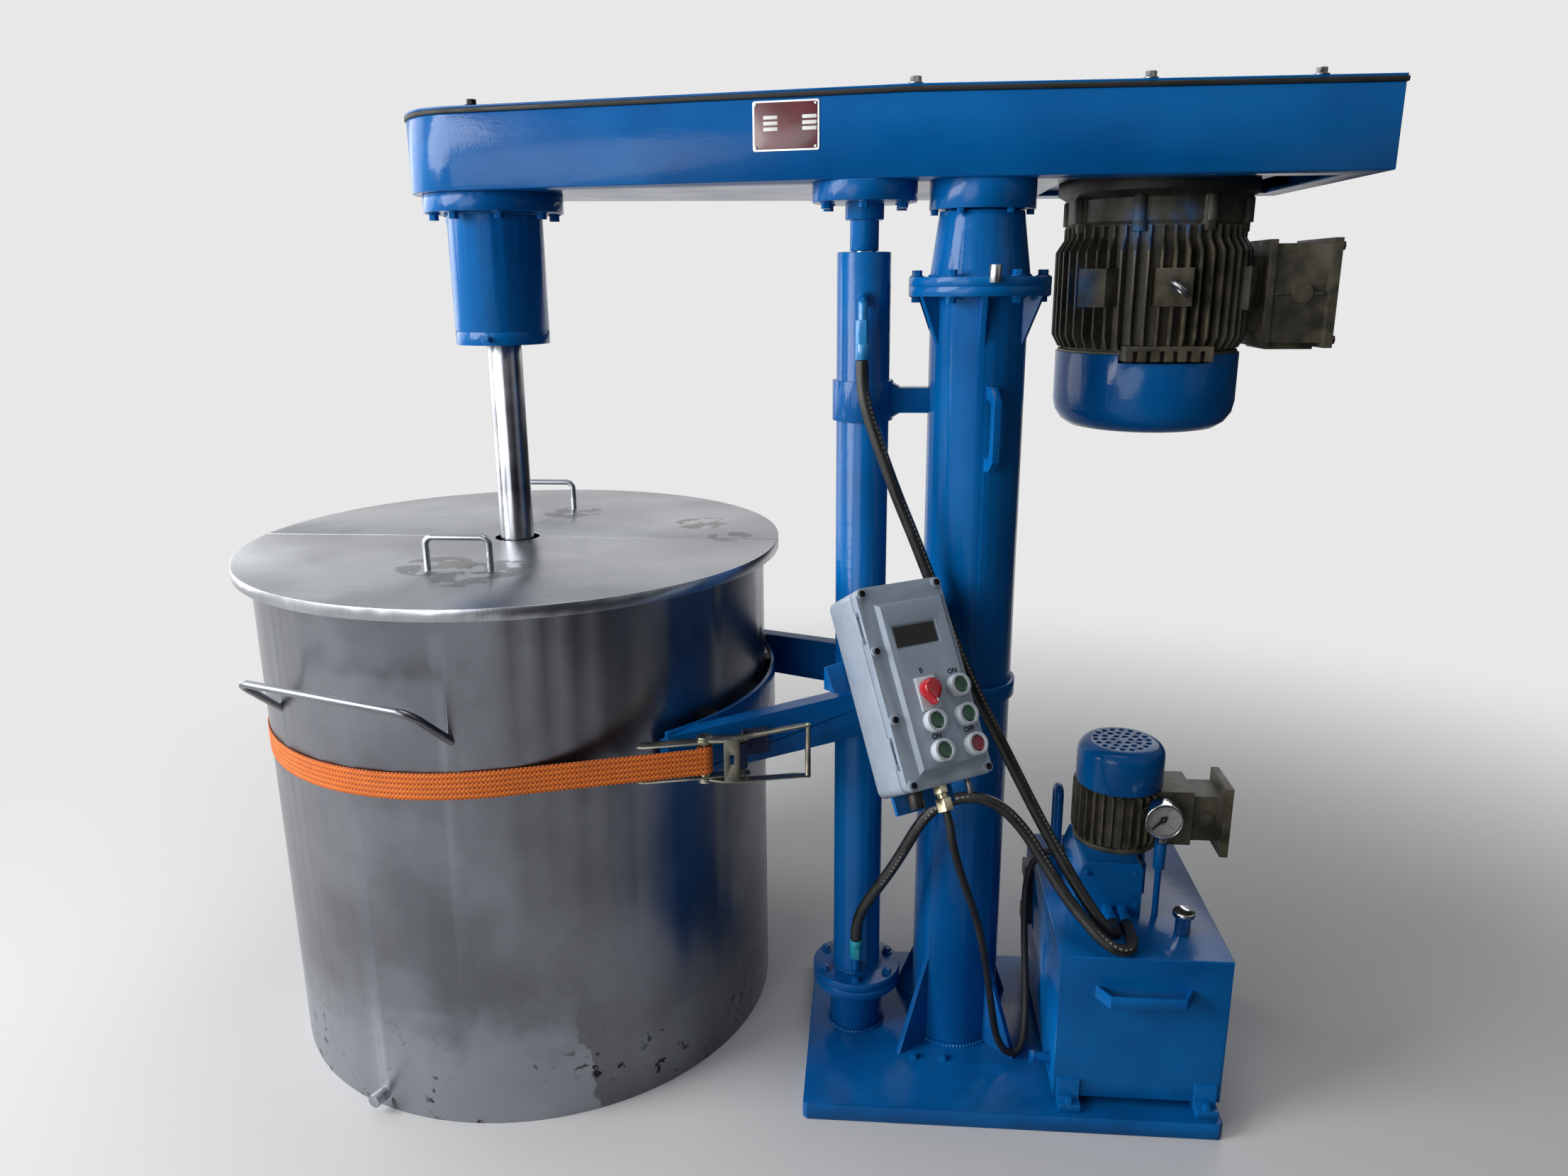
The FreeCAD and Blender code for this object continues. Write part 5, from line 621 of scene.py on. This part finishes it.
# the points of a smooth spline through the route, as Blender works it out for a curve with no bevel
def splinePoints(name, points):
    curve = bpy.data.curves.new(name + "_line", "CURVE")
    curve.dimensions = "3D"
    curve.resolution_u = 10
    spline = curve.splines.new("NURBS")
    spline.points.add(len(points) - 1)
    spots = np.hstack([np.array(points, float) * mm, np.ones((len(points), 1))])
    spline.points.foreach_set("co", spots.ravel())
    spline.order_u = 3
    spline.use_endpoint_u = True
    holder = bpy.data.objects.new(name + "_line", curve)
    bpy.context.scene.collection.objects.link(holder)
    bpy.context.view_layer.update()
    flat = bpy.data.meshes.new_from_object(holder)
    line = np.zeros(len(flat.vertices) * 3)
    flat.vertices.foreach_get("co", line)
    bpy.data.objects.remove(holder)
    return line.reshape(-1, 3)


# the unit way ahead at each point of a line, and the distance run to it
def alongLine(line):
    heading = np.gradient(line, axis=0)
    heading /= np.linalg.norm(heading, axis=1)[:, None]
    return heading, np.append(0, np.cumsum(np.linalg.norm(np.diff(line, axis=0), axis=1)))


# a circle carried along a line: each ring stands square to the line, its start turned from one fixed side
def tubeAlong(name, line, radius, sides=20, side=(0.35, -0.9, 0.25)):
    heading, run = alongLine(line)
    across = np.cross(heading, np.array(side))
    across /= np.linalg.norm(across, axis=1)[:, None]
    third = np.cross(heading, across)
    a = np.linspace(0, 2 * math.pi, sides, endpoint=False)[:, None]
    ring = across[:, None] * np.cos(a) + third[:, None] * np.sin(a)
    grid = line[:, None] + ring * radius
    mesh = gridMesh(name, grid, uv=(run, a[:, 0] / (2 * math.pi), 1.0), caps=True)
    faceOut(mesh)
    return mesh, float(run[-1])


print("hoses and cable")
for name, (look, radius, points) in route.items():
    line = splinePoints(name, points)
    mesh, length = tubeAlong(name + "_tube", line, radius * mm)
    piece = newPiece(name + "_tube", mesh, "stand", look, [name])


# Straps

strap = {"wide": 50, "thick": 2.6, "tank": (-912, 182), "ring": 509.9, "level": 686.4, "slope": 2.6,
         "rod": (-467.07, -226.67), "roll": 13.4, "wound": 400, "leave": 282.7, "back": 40, "rear": 179,
         "flap": 50, "flapWay": (0.774, -0.633), "anchor": (-404.28, -209.85), "loop": 9.8, "hooked": 330,
         "short": 55, "bend": 6, "armWay": (0.958, 0.287), "armOut": (0.287, -0.958), "armTurn": 16.7}


# points of an arc in plan, in mm, from one angle to another
def arc(middle, radius, start, end, steps):
    a = np.radians(np.linspace(start, end, steps))[:, None]
    return np.array(middle) + np.broadcast_to(radius, (steps,))[:, None] * np.hstack([np.cos(a), np.sin(a)])


# a flat ribbon stood on edge along a line in plan; its rounded section rises with the slope of the strap
def ribbon(name, line):
    across = np.linspace(0, 2 * math.pi, 24, endpoint=False)
    squared = np.stack([np.cos(across), np.sin(across)], axis=-1)
    squared = np.sign(squared) * np.abs(squared) ** 0.25
    wide, thick = squared[:, 0] * strap["wide"] / 2, squared[:, 1] * strap["thick"] / 2
    heading, run = alongLine(line)
    run = run * mm
    left = np.stack([-heading[:, 1], heading[:, 0]], axis=-1)
    plan = line[:, None] + left[:, None] * thick[:, None]
    level = strap["level"] + math.tan(math.radians(strap["slope"])) * (line[:, 0] - strap["tank"][0])
    grid = np.concatenate([plan, (level[:, None] + wide)[:, :, None]], axis=2) * mm
    mesh = gridMesh(name, grid, uv=(run, wide * mm, wide[0] * mm), caps=True)
    faceOut(mesh)
    mesh.set_sharp_from_angle(angle=math.radians(50))
    return mesh, float(run[-1])


# from the rear arm round the tank to the winding rod, where it is rolled up
def longStrapLine():
    back = math.radians(strap["back"])
    out, tangent = np.array([math.cos(back), math.sin(back)]), np.array([math.sin(back), -math.cos(back)])
    foot = np.array(strap["tank"]) + out * strap["ring"] + tangent * strap["rear"]
    flap = foot + np.array(strap["flapWay"]) * strap["flap"]
    ring = arc(strap["tank"], strap["ring"], strap["back"], strap["leave"], 160)
    shrunk = strap["roll"] - strap["thick"] * np.linspace(0, 1, 60) * strap["wound"] / 360
    roll = arc(strap["rod"], shrunk, strap["leave"], strap["leave"] + strap["wound"], 60)
    return np.vstack([flap, flap * 0.5 + foot * 0.5, foot, foot * 0.5 + ring[0] * 0.5, ring, roll])


# from the front arm out to the anchor rod and round it
def shortStrapLine():
    side, out = np.array(strap["armWay"]), np.array(strap["armOut"])
    corner = np.array(strap["anchor"]) + side * strap["loop"] - out * (strap["short"] - 1.5)
    inner, start = corner + side * strap["bend"] + out * strap["bend"], strap["armTurn"]
    bend = arc(inner, strap["bend"], start + 90, start + 180, 8)
    loop = arc(strap["anchor"], strap["loop"], start, start - strap["hooked"], 40)
    return np.vstack([corner + side * strap["flap"], corner + side * 25, bend, corner + out * 28, loop])


print("straps")
straps = {"long_strap": (longStrapLine(), "orangeWeb"), "short_strap": (shortStrapLine(), "navyWeb")}
for name, (line, look) in straps.items():
    mesh, length = ribbon(name, line)
    newPiece(name, mesh, "stand", look, ["tank_strap"])
    print(name, round(length, 3), "m")


# Control box: lenses, selector, display, heads of the cover screws and plain words

lens = [(0, -1), (13.6, -1), (13.6, 11.6), (13.2, 12.8), (12.2, 13.6), (11.2, 13.8), (10.6, 13.3),
        (6, 13.5), (0, 13.7)]
knob = {"middle": (-6, -16), "radius": 17, "point": 28, "tip": 27.5, "foot": -56.3,
        "markFace": -77.3, "markDown": 21,
        "levels": [(0.98, 0), (1.0, 1), (0.98, 14), (0.95, 18), (0.9, 20), (0.8, 21), (0.45, 21.2),
                   (0.0, 21.2)]}


# the outline of the selector: a circle with two tangents that meet below it, kept short of the tip
def knobMesh():
    a = np.linspace(0, 2 * math.pi, 72, endpoint=False)
    fromTip = np.abs((a + math.pi / 2 + math.pi) % (2 * math.pi) - math.pi)
    flank = math.acos(knob["radius"] / knob["point"])
    tangent = knob["radius"] / np.cos(flank - np.minimum(fromTip, flank))
    reach = np.minimum(np.where(fromTip < flank, tangent, knob["radius"]), knob["tip"])
    scale, rise = np.array(knob["levels"]).T
    flat = np.stack([reach * np.cos(a), reach * np.sin(a)], axis=-1)[None] * scale[:, None, None]
    grid = np.concatenate([flat, np.broadcast_to(rise[:, None, None], flat.shape[:2] + (1,))], axis=2)
    across, up = knob["middle"]
    grid = grid @ faceFrame.T + onBox(across, knob["foot"], up)
    return settle(gridMesh("selector_grip", grid * mm), 40)


print("control box")
for node, (across, up) in buttons.items():
    look = "polished_dark_red_lens" if node == "button_stop" else "polished_green_lens"
    mesh = turnedAt(node + "_lens", lens, [onBox(across, -51, up)], faceFrame, 40)
    newPiece(node + "_lens", mesh, nodes[node]["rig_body"], look, [node])
knobBody, knobSlot = nodes["selector_knob"]["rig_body"], slotOf["selector_knob"]
newPiece("selector_grip", knobMesh(), knobBody, "polished_red_plastic", ["selector_knob"])
across, up = knob["middle"]
marker = turnedAt("selector_mark", [(0, 0), (3.4, 0), (3.0, 0.5), (0, 0.5)],
                  [onBox(across, knob["markFace"], up - knob["markDown"])], faceFrame, 3)
newPiece("selector_mark", marker, knobBody, "collar_white_plastic")
glass = plateAt("display_glass", 83, 35, 2, [(0, -1), (0, 0.8), (0.4, 1.1)], [onBox(5, -48, 79)], faceFrame)
newPiece("display_glass", glass, "stand", "display_glass_black")
panHead = [(0, 0), (5.6, 0), (5.6, 0.2), (5.2, 0.5), (3.0, 0.5), (2.9, 0.1), (0, 0.1)]
heads = turnedAt("cover_heads", panHead, [onBox(x, -49.1, z) for x, z in coverScrews], faceFrame, 18)
newPiece("cover_heads", heads, "stand", "blackened_steel")
words = figures("cover_words", [("ON", 55, 6), ("ON", -10, -94), ("OFF", 56, -95), ("0", -6, 17)], 12,
                onBox(0, -51.05, 0), faceFrame, bold=0.5)
newPiece("cover_words", words, "stand", "printing_ink_black")


# Pressure gauge: dial, marks and figures

gauge = {"middle": (367, -86.2, 547), "low": 225, "sweep": 270, "top": 25, "each": 5, "markRing": 27.5,
         "longMark": (5.0, 0.5), "shortMark": (3.0, 0.28), "figureRing": 18.5, "figureHigh": 5.2}


def dialMarks():
    step = np.arange(gauge["top"] + 1)[:, None, None]
    a = np.radians(gauge["low"] - step * gauge["sweep"] / gauge["top"])
    long, half = [np.where(step % gauge["each"] == 0, gauge["longMark"][i], gauge["shortMark"][i])
                  for i in (0, 1)]
    r = gauge["markRing"] - long * np.array([0, 1, 1, 0])[None, None]
    w = half * np.array([-1, -1, 1, 1])[None, None]
    x, y = r * np.cos(a) - w * np.sin(a), r * np.sin(a) + w * np.cos(a)
    rise = np.array([0.0, 0.25])[None, :, None] + 0 * x
    grid = np.stack([x + 0 * rise, y + 0 * rise, rise], axis=-1) @ frontFrame.T + np.array(gauge["middle"])
    return settle(gridMesh("dial_marks", grid * mm, caps=True))


def dialFigures():
    values = np.arange(0, gauge["top"] + 1, gauge["each"])
    a = np.radians(gauge["low"] - values * gauge["sweep"] / gauge["top"])
    ring = gauge["figureRing"]
    rows = [(str(v), ring * math.cos(t), ring * math.sin(t)) for v, t in zip(values, a)] + [("MPa", 0, -9)]
    return figures("dial_figures", rows, gauge["figureHigh"], np.array(gauge["middle"]) + (0, -0.15, 0),
                   frontFrame)


print("gauge")
dial = turnedAt("dial_face", [(0, 0), (30.8, 0), (30.8, 0.2), (0, 0.2)], [gauge["middle"]], frontFrame)
newPiece("dial_face", dial, "stand", "dial_white_enamel")
newPiece("dial_marks", dialMarks(), "stand", "printing_ink_black")
newPiece("dial_figures", dialFigures(), "stand", "printing_ink_black")


# Blank data plate on the tapering wall of the beam: silver border, maroon field, empty white fields, rivets

# the wall runs from a corner in plan along a unit way
dataPlate = {"x": -330, "level": 1763, "corner": (-125, -98), "way": (0.9866, -0.163)}
plateLayers = {
    "plate_border": ("plate_silver", 113, 78, 4, [(0, -0.5), (0, 1.0), (0.3, 1.3)], [(0, 0)]),
    "plate_field": ("anodised_maroon", 107, 72, 2.5, [(0, 1.0), (0, 1.5), (0.2, 1.6)], [(0, 0)]),
    "plate_blanks": ("dial_white_enamel", 24, 5.6, 0.6, [(0, 1.5), (0, 1.7), (0.1, 1.75)],
                     [(x, y) for x in (-26, 40) for y in (13, 4, -5)]),
}
wayX, wayY = dataPlate["way"]
plateFrame = np.array([[wayX, 0, wayY], [wayY, 0, -wayX], [0, 1, 0]])
plateY = dataPlate["corner"][1] + (dataPlate["x"] - dataPlate["corner"][0]) * wayY / wayX
plateMiddle = np.array([dataPlate["x"], plateY, dataPlate["level"]])


def onPlate(across, up, out=0.0):
    return plateMiddle + plateFrame @ np.array([across, up, out])


print("data plate")
for name, (look, wide, high, corner, levels, spots) in plateLayers.items():
    mesh = plateAt(name, wide, high, corner, levels, [onPlate(x, y) for x, y in spots], plateFrame)
    newPiece(name, mesh, "head", look)
rivet = [(0, 0), (3.0, 0), (2.8, 0.8), (1.8, 1.4), (0, 1.7)]
rivets = turnedAt("plate_rivets", rivet, [onPlate(x, y, 1.3) for x in (-51, 51) for y in (-33, 33)],
                  plateFrame, 16)
newPiece("plate_rivets", rivets, "head", "plate_silver")


# Welds, small fasteners and cast bosses

print("welds and fasteners")
welds = {
    "column_weld": ("stand", (0, 0, 34), 86, 4.5), "pedestal_weld": ("stand", (-200, 0, 34), 55, 3.5),
    "pedestal_top_weld": ("stand", (-200, 0, 129), 55, 3.0),
    "barrel_weld": ("stand", (-200, 0, 165.5), 48, 2.6),
    "column_flange_weld": ("stand", (0, 0, 1489), 85, 3.0), "cone_weld": ("stand", (0, 0, 1523), 86, 2.6),
    "housing_weld": ("head", (-912, 182, 1644), 91, 3.0),
}
for name, (body, middle, radius, bead) in welds.items():
    newPiece(name, weldRing(name, middle, radius, bead), body, "enamel")

hexHead = [(0, 0), (8.6, 0), (8.6, 6.4), (7.6, 7.3), (0, 7.3)]
sideFrame = np.array([[0, 0, 1], [1, 0, 0], [0, 1, 0]], float)  # across Y, up Z and towards +X
boxBolts = turnedAt("terminal_bolts", hexHead, [(635.5, y, z) for y in (102, 262) for z in (1408, 1570)],
                    sideFrame, 6)
newPiece("terminal_bolts", boxBolts, "head", "castPaint")
roundHead = [(0, -0.5), (4.5, -0.5), (4.5, 2.5), (3.8, 3.2), (0, 3.2)]
screwSpots = [(x, -95, z) for x, z in ((234, 436), (322, 436), (226, 366), (328, 372))]
blockScrews = turnedAt("block_screws", roundHead, screwSpots, frontFrame, 20)
newPiece("block_screws", blockScrews, "stand", "enamel")
# cast bosses under the motor's flange, with a gap towards each axis
flange = {"middle": (331, 182), "ring": 158, "foot": 1612, "count": 8}
halfStep = 180 / flange["count"]
bossSpots = [(flange["middle"][0] + flange["ring"] * math.cos(t),
              flange["middle"][1] + flange["ring"] * math.sin(t), flange["foot"])
             for t in np.radians(np.arange(flange["count"]) * 2 * halfStep + halfStep)]
bosses = turnedAt("motor_bosses", [(0, 0), (11, 0), (11, 40), (9, 44), (0, 45)], bossSpots, steps=20)
newPiece("motor_bosses", bosses, "head", "castPaint")


# Camera, lights and floor

camera = {"place": (-0.1747, -2.03328, 1.51498), "yaw": -0.0831, "pitch": 0.2664, "roll": -0.0074,
          "lensMm": 25.73, "sensorMm": 36.0}
# place and width in m, power in W and tint of each lamp
lamps = {
    "key": ((-4.3, -1.9, 2.5), 2.8, 225, "#ffffff"), "left": ((-4.3, 1.7, 1.7), 3.2, 60, "#ffffff"),
    "front": ((-2.7, -4.2, 1.7), 2.6, 62, "#ffffff"), "right": ((3.4, -2.4, 2.0), 2.5, 5, "#f2f6ff"),
    "back": ((1.8, 3.6, 3.0), 3.0, 35, "#ffffff"), "top": ((-0.2, 0.0, 4.6), 2.4, 45, "#ffffff"),
}
# backdrop and floor are what is seen; light and bounce are what the object gets from them; a reflection
# finds the dim room towards one way, between two levels in the world and two distances in m on the floor
studio = {"backdrop": "#e8e8e8", "floor": "#cacaca", "light": "#c4cad2", "lightStrength": 0.1,
          "bounce": "#6e6e6e", "room": "#24272d", "roomWay": (0.94, -0.34, 0.0), "worldDim": (-0.45, 0.2),
          "floorDim": (-0.1, 1.2), "ceilingRise": (0.1, 0.45), "ceiling": 0.6, "fade": (1.2, 3.4),
          "floorHalf": 30.0, "aim": (-0.3, 0.1, 0.95)}


def makeCamera():
    yaw, pitch, roll = camera["yaw"], camera["pitch"], camera["roll"]
    ahead = np.array([math.sin(yaw) * math.cos(pitch), math.cos(yaw) * math.cos(pitch), -math.sin(pitch)])
    right = np.array([math.cos(yaw), -math.sin(yaw), 0.0])
    down = np.cross(ahead, right)
    turnedRight = math.cos(roll) * right - math.sin(roll) * down
    turnedDown = math.sin(roll) * right + math.cos(roll) * down
    data = bpy.data.cameras.new("camera")
    data.lens, data.sensor_width = camera["lensMm"], camera["sensorMm"]
    viewer = bpy.data.objects.new("camera", data)
    bpy.context.scene.collection.objects.link(viewer)
    pose = np.eye(4)
    pose[:3, :3] = np.stack([turnedRight, -turnedDown, -ahead], axis=1)
    pose[:3, 3] = camera["place"]
    viewer.matrix_world = Matrix(pose.tolist())
    bpy.context.scene.camera = viewer


def makeLamps():
    for name, (place, width, power, tint) in lamps.items():
        data = bpy.data.lights.new(name, "AREA")
        data.shape = "DISK"
        data.size, data.energy, data.color = width, power, ink(tint)[:3]
        holder = bpy.data.objects.new(name, data)
        bpy.context.scene.collection.objects.link(holder)
        holder.location = place
        away = np.array(place) - np.array(studio["aim"])
        holder.rotation_euler = (math.acos(away[2] / np.linalg.norm(away)), 0,
                                 math.atan2(away[1], away[0]) + math.pi / 2)


# one where the camera, a reflection or a lens looks at it; and the kinds of ray
def seenDirectly(tree):
    path = add(tree, "LightPath").node.outputs
    either = add(tree, "Math", {0: path["Is Camera Ray"], 1: path["Is Glossy Ray"]}, operation="MAXIMUM")
    return add(tree, "Math", {0: either, 1: path["Is Transmission Ray"]}, operation="MAXIMUM"), path


# one where a reflection looks towards the dim half of the room
def dimWay(tree, path, where, span):
    front = add(tree, "VectorMath", {0: where, 1: studio["roomWay"]}, "Value", operation="DOT_PRODUCT")
    dim = add(tree, "MapRange", {"Value": front, 1: span[0], 2: span[1]}, **soft)
    return add(tree, "Math", {0: dim, 1: path["Is Glossy Ray"]}, operation="MULTIPLY")


# the backdrop's tone, turning to the room's where it is dim
def roomTone(tree, dim):
    ends = {0: dim, 6: ink(studio["backdrop"]), 7: ink(studio["room"])}
    return add(tree, "Mix", ends, 2, **rgba)


# pale all round, with the dim half of the room for reflections, paler towards its ceiling
def makeWorld():
    world = bpy.context.scene.world or bpy.data.worlds.new("studio")
    bpy.context.scene.world = world
    world.use_nodes = True
    tree = world.node_tree
    tree.nodes.clear()
    seen, path = seenDirectly(tree)
    way = add(tree, "TexCoord", out="Generated")
    height = add(tree, "SeparateXYZ", {0: way}, 2)
    low, high = studio["ceilingRise"]
    ceiling = add(tree, "MapRange", {"Value": height, 1: low, 2: high, 3: 1.0, 4: studio["ceiling"]})
    dim = dimWay(tree, path, way, studio["worldDim"])
    dim = add(tree, "Math", {0: dim, 1: ceiling}, operation="MULTIPLY")
    lit = add(tree, "Background", {0: ink(studio["light"]), 1: studio["lightStrength"]})
    shown = add(tree, "Background", {0: roomTone(tree, dim), 1: 1.0})
    both = add(tree, "MixShader", {0: seen, 1: lit, 2: shown})
    tree.links.new(both, tree.nodes.new("ShaderNodeOutputWorld").inputs[0])


# a pale floor that fades into the backdrop far from the object, and dims like the room in reflections
def makeFloor():
    half = studio["floorHalf"]
    mesh = bpy.data.meshes.new("floor")
    square = [(-half, -half, 0), (half, -half, 0), (half, half, 0), (-half, half, 0)]
    mesh.from_pydata(square, [], [(0, 1, 2, 3)])
    floor = bpy.data.objects.new("floor", mesh)
    bpy.context.scene.collection.objects.link(floor)
    material, tree, shader, where = newFinish("studio_floor", roughness=0.6)
    mesh.materials.append(material)
    seen, path = seenDirectly(tree)
    paint = add(tree, "Mix", {0: seen, 6: ink(studio["bounce"]), 7: ink(studio["floor"])}, 2, **rgba)
    dim = dimWay(tree, path, where, studio["floorDim"])
    paint = add(tree, "Mix", {0: dim, 6: paint, 7: ink(studio["room"])}, 2, **rgba)
    tree.links.new(paint, shader.inputs["Base Color"])
    far = add(tree, "VectorMath", {0: where}, "Value", operation="LENGTH")
    fade = add(tree, "MapRange", {"Value": far, 1: studio["fade"][0], 2: studio["fade"][1]}, **soft)
    fade = add(tree, "Math", {0: fade, 1: seen}, operation="MULTIPLY")
    glow = add(tree, "Emission", {0: roomTone(tree, dim), 1: 1.0})
    both = add(tree, "MixShader", {0: fade, 1: shader.outputs[0], 2: glow})
    tree.links.new(both, tree.nodes["Material Output"].inputs[0])


print("camera and studio")
makeCamera()
makeLamps()
makeWorld()
makeFloor()
bpy.context.scene.view_settings.view_transform = "Standard"
